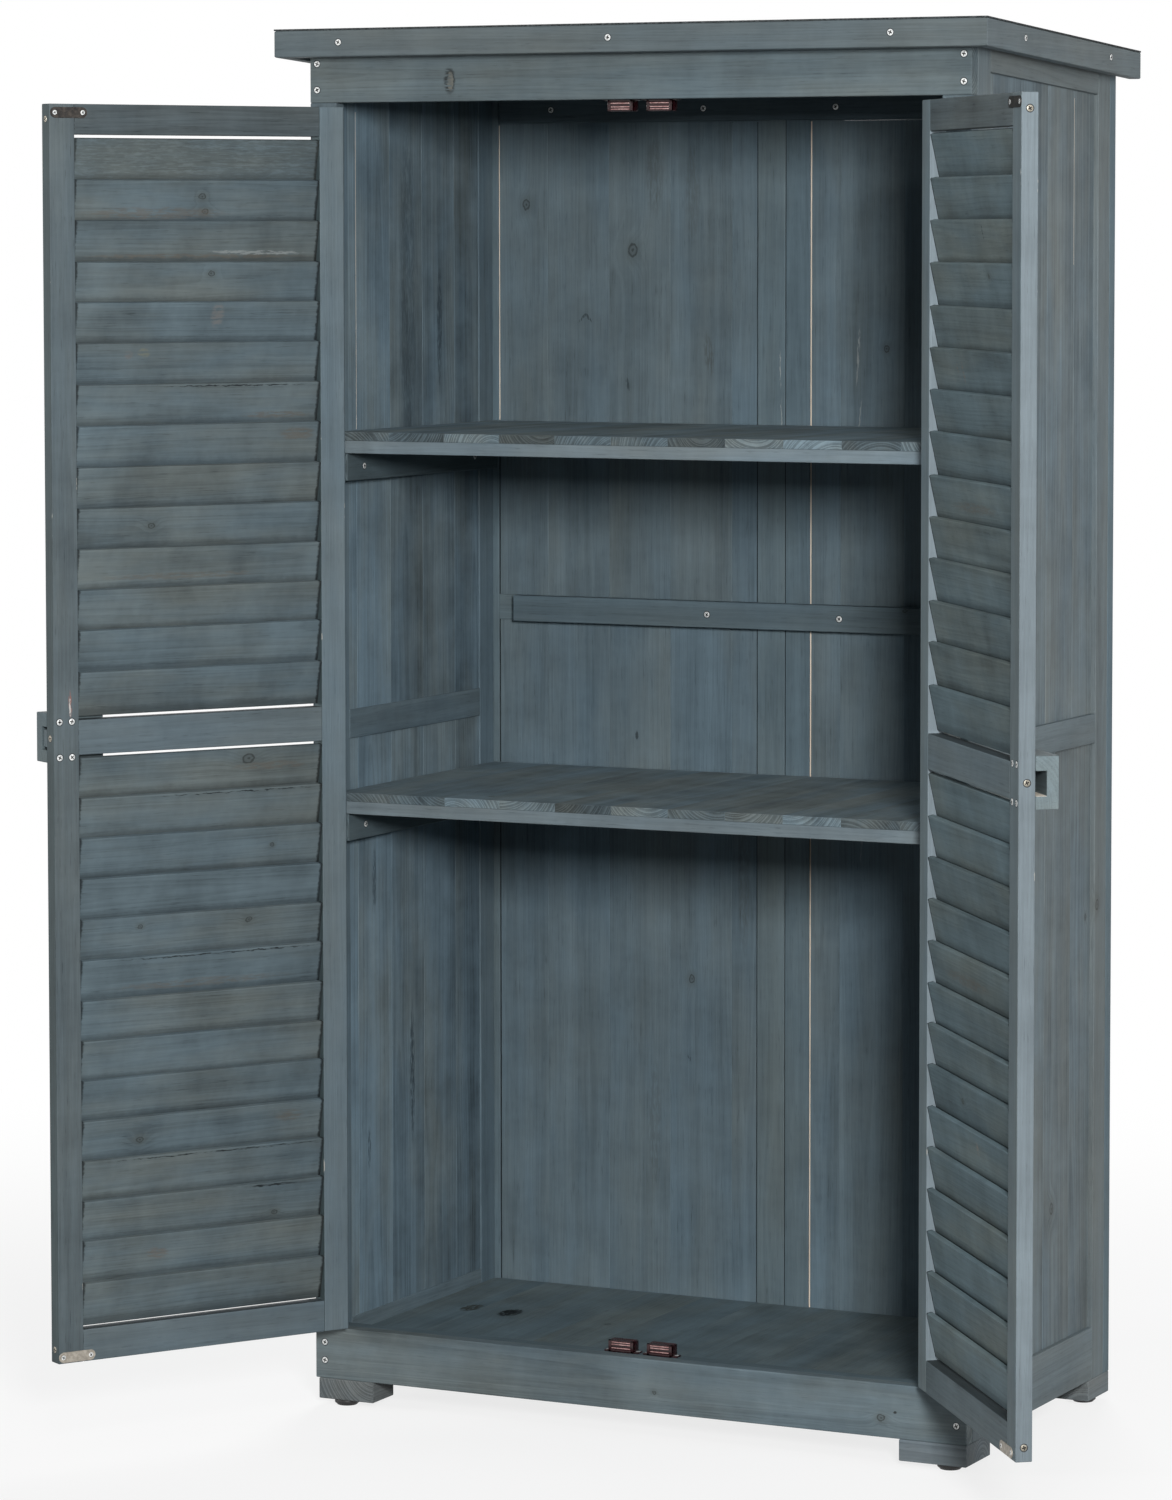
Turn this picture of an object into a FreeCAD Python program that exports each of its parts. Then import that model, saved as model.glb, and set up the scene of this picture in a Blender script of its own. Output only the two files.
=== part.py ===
import FreeCAD, Part
import math
import os

# Garden storage cabinet: a framed and boarded timber carcass on four feet, a
# lean-to roof, two fixed-height shelves and two louvred doors with a sliding
# wooden latch. Sizes are in millimetres and Z is up. Every piece is drawn in
# the cabinet's own place, with the front face on y = 0, the middle on x = 0
# and the ground on z = 0. It is moved by MOVE_X and MOVE_Y when it is saved,
# so that the origin lies under the middle of the whole object, doors open.
MOVE_X = -16.72
MOVE_Y = -52.87

# Carcass
WIDTH = 810.0
DEPTH = 435.0
TIMBER = 18.0
HALF = WIDTH / 2
INNER = HALF - TIMBER
BACK_FACE = DEPTH - TIMBER
FOOT_TOP = 31.0
BOTTOM_BOARD_TOP = 91.0
HEADER_BOTTOM = 1497.0
POST_WIDTH = 34.0
OPENING_HALF = HALF - POST_WIDTH

# Roof
OVERHANG = 30.0
ROOF_SLOPE_DEG = 3.0
ROOF_FRONT_TOP = 1580.0
FELT = 2.0
DECK = 10.0
DECK_BOARDS = 5
FASCIA = 15.0
FASCIA_HIDE = 32.0
SLOPE = math.tan(math.radians(ROOF_SLOPE_DEG))
ROOF_HALF = HALF + OVERHANG

# Feet
FOOT_BOTTOM = 7.0
GLIDE_R = 14.5
GLIDE_TREAD_R = 12.0
GLIDE_STEP = 2.0

# Framed panels of the sides and the back
PANEL_BOARD = 10.0
PANEL_RECESS = 2.0
HOUSING = 5.0
V_CUT = 1.4
TONGUE = 4.0
TONGUE_HALF = 1.5
SIDE_STILE = 37.0
SIDE_BACK_STILE = 36.0
SIDE_BOTTOM_RAIL_TOP = 92.0
SIDE_MID_RAIL = (767.5, 801.0)
SIDE_TOP_RAIL = 41.0
SIDE_JOINTS = (77.0, 159.0, 239.0, 320.0)
BACK_CORNER_STILE_EDGE = 379.5
BACK_MIDDLE_STILE_EDGE = {-1: 36.0, 1: 31.4}
BACK_BOTTOM_RAIL_TOP = 75.0
BACK_MID_RAIL = (882.5, 913.0)
BACK_TOP_RAIL_BOTTOM = 1480.2
BACK_JOINTS = (70.0, 151.0, 232.0, 314.0)
SHRINK_GAP = 0.8

# Battens and shelves inside
BATTEN = 15.0
BACK_TOP_BATTEN = (370.0, 1481.0, 1511.0)
BACK_MID_BATTEN = (353.0, 882.0, 913.0)
FRONT_BATTEN_TOP = 1532.0
CATCH_RAIL = 18.0
FLOOR_TOP = 75.0
SHELF_BOARD = 10.0
SHELF_BATTEN = 14.5
SHELF_BATTEN_WIDTH = 35.0
SHELF_HALF = INNER - 1.0
SHELF_FRONT = 20.0
SHELF_BACK = 416.0
SHELF_TOPS = {"upper": 1123.0, "lower": 709.0}
SHELF_BOARDS = 11
SUPPORT_HEIGHT = 32.0
SUPPORT_Y = (24.0, 400.0)
FLOOR_BOARDS = 11

# Louvred doors, drawn closed
DOOR_WIDTH = 369.3
DOOR_BOTTOM = 95.0
DOOR_TOP = 1491.5
HINGE_GAP = 1.0
DOOR_STILE = 31.0
DOOR_TOP_RAIL = 33.5
DOOR_BOTTOM_RAIL = 36.0
DOOR_MID_RAIL = (774.0, 813.0)
DOOR_SLIT = 3.5
SLATS_PER_FIELD = 14
SLAT_WIDTH = 50.0
SLAT_THICK = 7.0
SLAT_TILT_DEG = 12.5
SLAT_HOUSING = 4.0
OPEN_DEG = {-1: 121.8, 1: 128.4}

# Hinges
PIN_Y = -3.2
PIN_R = 1.4
PIN_BORE_R = 1.45
PIN_HEAD_R = 2.3
PIN_HEAD = 1.0
BARREL_R = 2.9
LEAF = 1.5
LEAF_WIDTH = 24.0
LEAF_START = 0.6
LEAF_CLEAR = 3.4
HINGE_HEIGHT = 60.0
KNUCKLE_GAP = 0.3
HINGE_MIDDLES = (215.0, 793.5, 1372.0)

# Sliding latch at the middle rail
BLOCK_LENGTH = 70.0
BLOCK_OUT = 25.0
BLOCK_Z = (765.5, 820.5)
SLOT_DEEP = 12.0
SLOT_Z = (779.5, 805.0)
BAR_LENGTH = 138.0
BAR_INSET = 2.0
BAR_THICK = 11.0
BAR_OFF_DOOR = 0.5
BAR_Z = (782.0, 802.0)

# Magnetic catches and their strike plates
CATCH_FRONT = 19.4
CATCH_DEPTH = 15.0
CATCH_BODY = 31.0
CATCH_EAR = 6.0
CATCH_BASE = 2.0
CATCH_HEIGHT = 14.0
CATCH_MIDDLES = (-23.0, 25.0)
MAGNET_WIDTH = 23.0
MAGNET_DEPTH = 9.0
MAGNET_HEIGHT = 6.0
STRIKE = 0.8
STRIKE_LENGTH = 45.0
STRIKE_HEIGHT = 12.0
STRIKE_Z = {"top": 1482.0, "bottom": 102.0}

# Screw heads, and the sides of small round pieces
HEAD_R = 3.5
HEAD = 0.3
HEAD_SIDES = 10
SMALL_HEAD_R = 2.6
SMALL_HEAD = 0.2
SMALL_SIDES = 8
GLIDE_SIDES = 16
BARREL_SIDES = 10

saved = {}


def box(x0, x1, y0, y1, z0, z1):
    corner = FreeCAD.Vector(min(x0, x1), min(y0, y1), min(z0, z1))
    return Part.makeBox(abs(x1 - x0), abs(y1 - y0), abs(z1 - z0), corner)


def prism_x(points, x0, x1):
    """Profile of (y, z) points drawn out along X."""
    ring = [FreeCAD.Vector(x0, y, z) for y, z in points]
    face = Part.Face(Part.makePolygon(ring + ring[:1]))
    return face.extrude(FreeCAD.Vector(x1 - x0, 0, 0))


def prism_z(points, z0, z1):
    """Profile of (x, y) points drawn out along Z."""
    ring = [FreeCAD.Vector(x, y, z0) for x, y in points]
    face = Part.Face(Part.makePolygon(ring + ring[:1]))
    return face.extrude(FreeCAD.Vector(0, 0, z1 - z0))


def rod(radius, height, at, along):
    return Part.makeCylinder(radius, height, FreeCAD.Vector(*at), FreeCAD.Vector(*along))


def many_sided(radius, sides, height, at, along):
    """Prism whose corners lie on a circle, for small round pieces."""
    turns = [2 * math.pi * n / sides for n in range(sides)]
    ring = [FreeCAD.Vector(radius * math.cos(turn), radius * math.sin(turn), 0) for turn in turns]
    solid = Part.Face(Part.makePolygon(ring + ring[:1])).extrude(FreeCAD.Vector(0, 0, height))
    aim = FreeCAD.Rotation(FreeCAD.Vector(0, 0, 1), FreeCAD.Vector(*along))
    solid.Placement = FreeCAD.Placement(FreeCAD.Vector(*at), aim)
    return solid


def keep(node, solids):
    saved[node] = solids if isinstance(solids, list) else [solids]


# Roof planes: the roof falls to the back
def roof_top(y):
    return ROOF_FRONT_TOP - (y + OVERHANG) * SLOPE


def deck_under(y):
    return roof_top(y) - FELT - DECK


def slab(y0, y1, drop_top, drop_bottom, half):
    """Layer of the roof between two depths below its top, cut square to the ground."""
    points = [(y0, roof_top(y0) - drop_top), (y1, roof_top(y1) - drop_top),
              (y1, roof_top(y1) - drop_bottom), (y0, roof_top(y0) - drop_bottom)]
    return prism_x(points, -half, half)


ABOVE_DECK = 60.0
roof_cutter = slab(-OVERHANG, DEPTH + OVERHANG, -ABOVE_DECK, FELT + DECK, ROOF_HALF + OVERHANG)
TALL = ROOF_FRONT_TOP


def under_roof(solid):
    return solid.cut(roof_cutter)


# Tongued and grooved board, as a profile across its width (u) and thickness (t)
def board_profile(u0, u1, t0, t1, first, last):
    middle = (t0 + t1) / 2
    low = middle - TONGUE_HALF
    high = middle + TONGUE_HALF
    if last:
        right = [(u1, t0), (u1, t1)]
    else:
        right = [(u1 - V_CUT, t0), (u1, t0 + V_CUT), (u1, low), (u1 + TONGUE, low),
                 (u1 + TONGUE, high), (u1, high), (u1, t1 - V_CUT), (u1 - V_CUT, t1)]
    if first:
        left = [(u0, t1), (u0, t0)]
    else:
        left = [(u0 + V_CUT, t1), (u0, t1 - V_CUT), (u0, high), (u0 + TONGUE, high),
                (u0 + TONGUE, low), (u0, low), (u0, t0 + V_CUT), (u0 + V_CUT, t0)]
    return right + left


def board_row(edges, t0, t1, z0, z1, place):
    """Row of boards between the given edges. place turns (u, t) into (x, y)."""
    row = []
    for n in range(len(edges) - 1):
        profile = board_profile(edges[n], edges[n + 1], t0, t1, n == 0, n == len(edges) - 2)
        row.append(prism_z([place(u, t) for u, t in profile], z0, z1))
    return row


# Feet: four softwood blocks under the corners and a black glide under each
FOOT_BLOCKS = {"front_left": (-401.0, -330.0, 0.0, 50.0), "front_right": (325.0, 405.0, 0.0, 70.0),
               "back_left": (-405.0, -363.0, 370.0, 435.0), "back_right": (363.0, 405.0, 370.0, 435.0)}
GLIDES = ((-372.0, 15.0), (378.0, 20.0), (-386.0, 403.0), (386.0, 403.0))
keep("foot_blocks_front", [box(*FOOT_BLOCKS[name], FOOT_BOTTOM, FOOT_TOP)
                           for name in ("front_left", "front_right")])
keep("foot_blocks_back", [box(*FOOT_BLOCKS[name], FOOT_BOTTOM, FOOT_TOP)
                          for name in ("back_left", "back_right")])
glides = []
for x, y in GLIDES:
    tread = many_sided(GLIDE_TREAD_R, GLIDE_SIDES, GLIDE_STEP, (x, y, 0), (0, 0, 1))
    rim = many_sided(GLIDE_R, GLIDE_SIDES, FOOT_BOTTOM - GLIDE_STEP, (x, y, GLIDE_STEP), (0, 0, 1))
    glides.append(rim.fuse(tread))
keep("glides", glides)

# Front frame: bottom board, two posts and the header under the roof
keep("bottom_board", box(-HALF, HALF, 0, TIMBER, FOOT_TOP, BOTTOM_BOARD_TOP))
keep("post_left", box(-HALF, -OPENING_HALF, 0, TIMBER, BOTTOM_BOARD_TOP, HEADER_BOTTOM))
keep("post_right", box(OPENING_HALF, HALF, 0, TIMBER, BOTTOM_BOARD_TOP, HEADER_BOTTOM))
keep("header_board", under_roof(box(-HALF, HALF, 0, TIMBER, HEADER_BOTTOM, TALL)))
keep("header_batten", box(-INNER, INNER, TIMBER, TIMBER * 2, HEADER_BOTTOM + 1, FRONT_BATTEN_TOP))
keep("catch_rail", box(-INNER, INNER, TIMBER, TIMBER + CATCH_RAIL, FOOT_TOP, BOTTOM_BOARD_TOP - HEAD))

# Side panels: two stiles, three rails and upper and lower rows of boards
stile_front = TIMBER + SIDE_STILE
stile_back = BACK_FACE - SIDE_BACK_STILE
t_in = INNER + PANEL_RECESS
t_out = t_in + PANEL_BOARD
groove_front = stile_front - HOUSING
groove_back = stile_back + HOUSING


def side_panel(side, name):
    def place(u, t):
        return (side * t, u)

    def groove(z0, z1):
        return box(side * t_in, side * t_out, groove_front, groove_back, z0, z1)

    front = box(side * INNER, side * HALF, TIMBER, stile_front, FOOT_TOP, TALL)
    back = box(side * INNER, side * HALF, stile_back, BACK_FACE, FOOT_TOP, TALL)
    stiles = [under_roof(stile.cut(groove(FOOT_TOP, TALL))) for stile in (front, back)]
    keep(name + "_stiles", stiles)

    def rail(z0, z1):
        body = box(side * INNER, side * HALF, stile_front, stile_back, z0, z1)
        return body.fuse(groove(z0, z1))

    mid_low, mid_high = SIDE_MID_RAIL
    bottom = rail(FOOT_TOP, SIDE_BOTTOM_RAIL_TOP)
    bottom = bottom.cut(groove(SIDE_BOTTOM_RAIL_TOP - HOUSING, SIDE_BOTTOM_RAIL_TOP))
    middle = rail(mid_low, mid_high).cut(groove(mid_low, mid_low + HOUSING))
    middle = middle.cut(groove(mid_high - HOUSING, mid_high))
    drop = FELT + DECK + SIDE_TOP_RAIL
    rail_zone = slab(0, DEPTH, FELT + DECK, drop, ROOF_HALF)
    rail_groove = slab(0, DEPTH, drop - HOUSING, drop, ROOF_HALF)
    top = rail(HEADER_BOTTOM, TALL).common(rail_zone)
    top = top.cut(rail_groove.common(groove(HEADER_BOTTOM, TALL)))
    keep(name + "_rails", [bottom, middle, top])

    edges = [groove_front] + list(SIDE_JOINTS) + [groove_back]
    lower = board_row(edges, t_in, t_out, SIDE_BOTTOM_RAIL_TOP - HOUSING, mid_low + HOUSING, place)
    upper = board_row(edges, t_in, t_out, mid_high - HOUSING, TALL, place)
    top_zone = slab(0, DEPTH, -ABOVE_DECK, drop - HOUSING, ROOF_HALF)
    upper = [board.cut(top_zone) for board in upper]
    keep(name + "_boards", lower + upper)


side_panel(-1, "side_left")
side_panel(1, "side_right")

# Back: two framed panels that meet in the middle
back_in = BACK_FACE + PANEL_RECESS
back_out = back_in + PANEL_BOARD


def back_panel(side, name, outer_gap, inner_gap, top_gap):
    inner = BACK_MIDDLE_STILE_EDGE[side]
    outer = BACK_CORNER_STILE_EDGE

    def place(u, t):
        return (side * u, t)

    def groove(z0, z1):
        return box(side * inner, side * outer, back_in, back_out, z0, z1)

    def rail(z0, z1):
        return box(side * inner, side * outer, BACK_FACE, DEPTH, z0, z1)

    middle = box(0, side * inner, BACK_FACE, DEPTH, FOOT_TOP, TALL)
    corner = box(side * outer, side * HALF, BACK_FACE, DEPTH, FOOT_TOP, TALL)
    keep(name + "_stiles", [under_roof(middle), under_roof(corner)])
    low, high = BACK_MID_RAIL
    bottom_rail = rail(FOOT_TOP, BACK_BOTTOM_RAIL_TOP)
    bottom_rail = bottom_rail.cut(groove(BACK_BOTTOM_RAIL_TOP - HOUSING, BACK_BOTTOM_RAIL_TOP))
    mid_rail = rail(low, high).cut(groove(low, low + HOUSING))
    mid_rail = mid_rail.cut(groove(high - HOUSING, high))
    keep(name + "_rails", [bottom_rail, mid_rail, under_roof(rail(BACK_TOP_RAIL_BOTTOM, TALL))])
    edges = [inner + inner_gap] + list(BACK_JOINTS) + [outer - outer_gap]
    lower = board_row(edges, back_in, back_out, BACK_BOTTOM_RAIL_TOP - HOUSING, low + HOUSING, place)
    upper = board_row(edges, back_in, back_out, high - HOUSING, BACK_TOP_RAIL_BOTTOM - top_gap, place)
    keep(name + "_boards", lower + upper)


back_panel(-1, "back_left", SHRINK_GAP, 0.0, 0.0)
back_panel(1, "back_right", 0.0, SHRINK_GAP, SHRINK_GAP)

# Battens across the back
half_length, batten_low, batten_high = BACK_TOP_BATTEN
keep("back_top_batten", box(-half_length, half_length, BACK_FACE - BATTEN, BACK_FACE, batten_low, batten_high))
half_length, batten_low, batten_high = BACK_MID_BATTEN
keep("back_mid_batten", box(-half_length, half_length, BACK_FACE - BATTEN, BACK_FACE, batten_low, batten_high))


# Floor and shelves: boards laid front to back on cross battens
def plank_row(count, half, y0, y1, z0, z1):
    pitch = 2 * half / count
    return [box(-half + n * pitch, -half + (n + 1) * pitch, y0, y1, z0, z1) for n in range(count)]


floor_front = TIMBER + CATCH_RAIL
floor_under = FLOOR_TOP - SHELF_BOARD
keep("floor_boards", plank_row(FLOOR_BOARDS, INNER, floor_front, BACK_FACE, floor_under, FLOOR_TOP))
FLOOR_BEARERS = (floor_front, (floor_front + BACK_FACE - TIMBER) / 2, BACK_FACE - TIMBER)
keep("floor_bearers", [box(-INNER, INNER, y, y + TIMBER, FOOT_TOP, floor_under) for y in FLOOR_BEARERS])
supports = []
for shelf, top in SHELF_TOPS.items():
    under = top - SHELF_BOARD
    rest = under - SHELF_BATTEN
    keep(shelf + "_shelf_boards", plank_row(SHELF_BOARDS, SHELF_HALF, SHELF_FRONT, SHELF_BACK, under, top))
    last = SHELF_BACK - SHELF_BATTEN_WIDTH
    battens = [box(-SHELF_HALF, SHELF_HALF, y, y + SHELF_BATTEN_WIDTH, rest, under)
               for y in (SHELF_FRONT, (SHELF_FRONT + last) / 2, last)]
    keep(shelf + "_shelf_battens", battens)
    for side in (-1, 1):
        supports.append(box(side * (INNER - BATTEN), side * INNER, *SUPPORT_Y, rest - SUPPORT_HEIGHT, rest))
keep("shelf_supports", supports)

# Roof: deck boards inside a mitred fascia, felt over all
deck_pitch = (DEPTH + OVERHANG - FASCIA) / DECK_BOARDS
deck_start = FASCIA - OVERHANG
keep("roof_boards", [slab(deck_start + n * deck_pitch, deck_start + (n + 1) * deck_pitch,
                          FELT, FELT + DECK, ROOF_HALF - FASCIA) for n in range(DECK_BOARDS)])
keep("roof_felt", slab(-OVERHANG, DEPTH, 0, FELT, ROOF_HALF))
fascia_zone = slab(-OVERHANG, DEPTH, FELT, FASCIA_HIDE, ROOF_HALF)
front_plan = [(-ROOF_HALF, -OVERHANG), (ROOF_HALF, -OVERHANG),
              (ROOF_HALF - FASCIA, FASCIA - OVERHANG), (FASCIA - ROOF_HALF, FASCIA - OVERHANG)]
keep("fascia_front", prism_z(front_plan, HEADER_BOTTOM, TALL).common(fascia_zone))
for side, name in ((-1, "fascia_left"), (1, "fascia_right")):
    side_plan = [(side * ROOF_HALF, -OVERHANG), (side * ROOF_HALF, DEPTH),
                 (side * (ROOF_HALF - FASCIA), DEPTH), (side * (ROOF_HALF - FASCIA), FASCIA - OVERHANG)]
    keep(name, prism_z(side_plan, HEADER_BOTTOM, TALL).common(fascia_zone))

# Magnetic catches: two stand on the catch rail, two hang from the header batten
CATCH_BODY_RIB = 1.0
RIB_GAP = 3.0
catch_ends = ((BOTTOM_BOARD_TOP - HEAD, 1), (HEADER_BOTTOM + 1, -1))
catches = []
magnets = []
for z, way in catch_ends:
    for x in CATCH_MIDDLES:
        ear = CATCH_BODY / 2 + CATCH_EAR
        deep = CATCH_FRONT + CATCH_DEPTH
        base = box(x - ear, x + ear, CATCH_FRONT + CATCH_BASE, deep - CATCH_BASE, z, z + way * CATCH_BASE)
        body = box(x - CATCH_BODY / 2, x + CATCH_BODY / 2, CATCH_FRONT, deep, z, z + way * CATCH_HEIGHT)
        pocket_z = z + way * (CATCH_HEIGHT - CATCH_BASE - MAGNET_HEIGHT)
        magnet = box(x - MAGNET_WIDTH / 2, x + MAGNET_WIDTH / 2, CATCH_FRONT, CATCH_FRONT + MAGNET_DEPTH,
                     pocket_z, pocket_z + way * MAGNET_HEIGHT)
        catch = body.fuse(base).cut(magnet)
        for rib in (1, 2, 3):
            rib_y = deep - rib * RIB_GAP
            tip = z + way * CATCH_HEIGHT
            catch = catch.cut(box(x - CATCH_BODY / 2, x + CATCH_BODY / 2, rib_y, rib_y + CATCH_BODY_RIB,
                                  tip - way * CATCH_BODY_RIB, tip))
        catches.append(catch)
        magnets.append(magnet)
keep("magnetic_catches", catches)
keep("catch_magnets", magnets)


# Doors. Everything on a door is drawn closed, from its hinge edge, and turned
# about the hinge pin into the open position of the photograph.
def door_x(side, along):
    return side * (OPENING_HALF - HINGE_GAP - along)


def turn_open(side, solid):
    solid.rotate(FreeCAD.Vector(side * OPENING_HALF, PIN_Y, 0), FreeCAD.Vector(0, 0, 1), side * OPEN_DEG[side])
    return solid


def door_box(side, d0, d1, y0, y1, z0, z1):
    return box(door_x(side, d0), door_x(side, d1), y0, y1, z0, z1)


tilt = math.radians(SLAT_TILT_DEG)
slat_reach = SLAT_WIDTH * math.cos(tilt) + SLAT_THICK * math.sin(tilt)


def slat_profile(middle_z):
    points = []
    for across, through in ((-1, -1), (1, -1), (1, 1), (-1, 1)):
        up = across * SLAT_WIDTH / 2
        out = through * SLAT_THICK / 2
        y = TIMBER / 2 + up * math.sin(tilt) + out * math.cos(tilt)
        z = middle_z + up * math.cos(tilt) - out * math.sin(tilt)
        points.append((y, z))
    return points


def slat_field(side, low, high, d0, d1):
    first = low + slat_reach / 2
    pitch = (high - low - slat_reach) / (SLATS_PER_FIELD - 1)
    return [prism_x(slat_profile(first + n * pitch), door_x(side, d0), door_x(side, d1))
            for n in range(SLATS_PER_FIELD)]


def head(at, along):
    return many_sided(HEAD_R, HEAD_SIDES, HEAD, at, along)


def small_head(at, along):
    return many_sided(SMALL_HEAD_R, SMALL_SIDES, SMALL_HEAD, at, along)


# One hinge: a leaf with the outer knuckles, a leaf with the middle one, a pin
def bore(x, z0, z1):
    return rod(PIN_BORE_R, z1 - z0, (x, PIN_Y, z0), (0, 0, 1))


def knuckle(x, z0, z1):
    barrel = many_sided(BARREL_R, BARREL_SIDES, z1 - z0, (x, PIN_Y, z0), (0, 0, 1))
    return barrel.cut(bore(x, z0, z1))


def hinge_leaf(side, toward, middle_z, spans, fixed_start):
    """toward is +1 for the leaf on the door, -1 for the leaf on the post."""
    x = side * OPENING_HALF
    way = -side * toward
    z0 = middle_z - HINGE_HEIGHT / 2
    z1 = middle_z + HINGE_HEIGHT / 2
    leaf = box(x + way * LEAF_CLEAR, x + way * LEAF_WIDTH, -LEAF, 0, z0, z1)
    for low, high in spans:
        neck = box(x + way * fixed_start, x + way * LEAF_CLEAR, -LEAF, 0, low, high)
        neck = neck.cut(bore(x, low, high))
        leaf = leaf.fuse(neck).fuse(knuckle(x, low, high))
    return leaf.removeSplitter()


third = HINGE_HEIGHT / 3
LEAF_SCREW_X = 15.0
LEAF_SCREW_Z = 20.0
post_leaves = []
pins = []
carcass_heads = []
door_leaves = {-1: [], 1: []}
door_heads = {-1: [], 1: []}
for side in (-1, 1):
    for z in HINGE_MIDDLES:
        outer = ((z - HINGE_HEIGHT / 2, z - third / 2 - KNUCKLE_GAP / 2),
                 (z + third / 2 + KNUCKLE_GAP / 2, z + HINGE_HEIGHT / 2))
        inner = ((z - third / 2 + KNUCKLE_GAP / 2, z + third / 2 - KNUCKLE_GAP / 2),)
        post_leaves.append(hinge_leaf(side, -1, z, outer, 0.0))
        door_leaves[side].append(hinge_leaf(side, 1, z, inner, LEAF_START))
        x = side * OPENING_HALF
        pin = rod(PIN_R, HINGE_HEIGHT, (x, PIN_Y, z - HINGE_HEIGHT / 2), (0, 0, 1))
        lower_end = (x, PIN_Y, z - HINGE_HEIGHT / 2 - PIN_HEAD)
        upper_end = (x, PIN_Y, z + HINGE_HEIGHT / 2)
        lower_head = many_sided(PIN_HEAD_R, SMALL_SIDES, PIN_HEAD, lower_end, (0, 0, 1))
        upper_head = many_sided(PIN_HEAD_R, SMALL_SIDES, PIN_HEAD, upper_end, (0, 0, 1))
        pins.append(pin.fuse(lower_head).fuse(upper_head))
        for dz in (-LEAF_SCREW_Z, LEAF_SCREW_Z):
            carcass_heads.append(small_head((x + side * LEAF_SCREW_X, -LEAF, z + dz), (0, -1, 0)))
            door_heads[side].append(small_head((x - side * LEAF_SCREW_X, -LEAF, z + dz), (0, -1, 0)))
keep("hinge_leaves_on_posts", post_leaves)
keep("hinge_pins", pins)

DOOR_RAIL_SCREWS = (110.0, 793.0, 1475.0)
BLOCK_SCREWS = ((347.0, 772.0), (362.0, 772.0), (347.0, 811.5), (362.0, 811.5))
STRIKE_SCREW_PITCH = 34.0
door_names = {-1: "left_door", 1: "right_door"}
block_names = {-1: "left_latch_block", 1: "right_keeper_block"}
strike_middles = {-1: {"top": 345.5, "bottom": 346.5}, 1: {"top": 347.0, "bottom": 337.0}}
free = DOOR_WIDTH - DOOR_STILE
for side in (-1, 1):
    name = door_names[side]
    mid_low, mid_high = DOOR_MID_RAIL
    lower_low = DOOR_BOTTOM + DOOR_BOTTOM_RAIL + DOOR_SLIT
    upper_high = DOOR_TOP - DOOR_TOP_RAIL - DOOR_SLIT
    ends = (DOOR_STILE - SLAT_HOUSING, free + SLAT_HOUSING)
    lower = slat_field(side, lower_low, mid_low - DOOR_SLIT, *ends)
    upper = slat_field(side, mid_high + DOOR_SLIT, upper_high, *ends)
    hinge_stile = door_box(side, 0, DOOR_STILE, 0, TIMBER, DOOR_BOTTOM, DOOR_TOP)
    free_stile = door_box(side, free, DOOR_WIDTH, 0, TIMBER, DOOR_BOTTOM, DOOR_TOP)
    housings = Part.makeCompound(lower + upper)
    hinge_stile = hinge_stile.cut(housings)
    free_stile = free_stile.cut(housings)
    rails = [door_box(side, DOOR_STILE, free, 0, TIMBER, low, high)
             for low, high in ((DOOR_BOTTOM, DOOR_BOTTOM + DOOR_BOTTOM_RAIL), DOOR_MID_RAIL,
                               (DOOR_TOP - DOOR_TOP_RAIL, DOOR_TOP))]
    block = door_box(side, DOOR_WIDTH - BLOCK_LENGTH, DOOR_WIDTH, -BLOCK_OUT, 0, *BLOCK_Z)
    block = block.cut(door_box(side, DOOR_WIDTH - BLOCK_LENGTH, DOOR_WIDTH, -SLOT_DEEP, 0, *SLOT_Z))
    strikes = []
    for place, z in STRIKE_Z.items():
        middle = strike_middles[side][place]
        round_r = STRIKE_HEIGHT / 2
        straight = STRIKE_LENGTH / 2 - round_r
        plate = door_box(side, middle - straight, middle + straight, TIMBER, TIMBER + STRIKE,
                         z - round_r, z + round_r)
        for end in (-1, 1):
            x = door_x(side, middle + end * straight)
            plate = plate.fuse(many_sided(round_r, HEAD_SIDES, STRIKE, (x, TIMBER, z), (0, 1, 0)))
            x = door_x(side, middle + end * STRIKE_SCREW_PITCH / 2)
            door_heads[side].append(small_head((x, TIMBER + STRIKE, z), (0, 1, 0)))
        strikes.append(plate.removeSplitter())
    for z in DOOR_RAIL_SCREWS:
        door_heads[side].append(head((door_x(side, DOOR_WIDTH), TIMBER / 2, z), (-side, 0, 0)))
        door_heads[side].append(head((door_x(side, 0), TIMBER / 2, z), (side, 0, 0)))
    for along, z in BLOCK_SCREWS:
        door_heads[side].append(head((door_x(side, along), TIMBER, z), (0, 1, 0)))
    pieces = {name + "_hinge_stile": [hinge_stile], name + "_free_stile": [free_stile],
              name + "_rails": rails, name + "_lower_slats": lower, name + "_upper_slats": upper,
              block_names[side]: [block], name + "_strike_plates": strikes,
              name + "_hinge_leaves": door_leaves[side], name + "_screws": door_heads[side]}
    for node, solids in pieces.items():
        keep(node, [turn_open(side, solid) for solid in solids])

# The bar slides along the left door's slot and enters the keeper when pushed out
bar_end = DOOR_WIDTH - BAR_INSET
bar = door_box(-1, bar_end - BAR_LENGTH, bar_end, -BAR_OFF_DOOR - BAR_THICK, -BAR_OFF_DOOR, *BAR_Z)
keep("latch_bar", turn_open(-1, bar))

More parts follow.
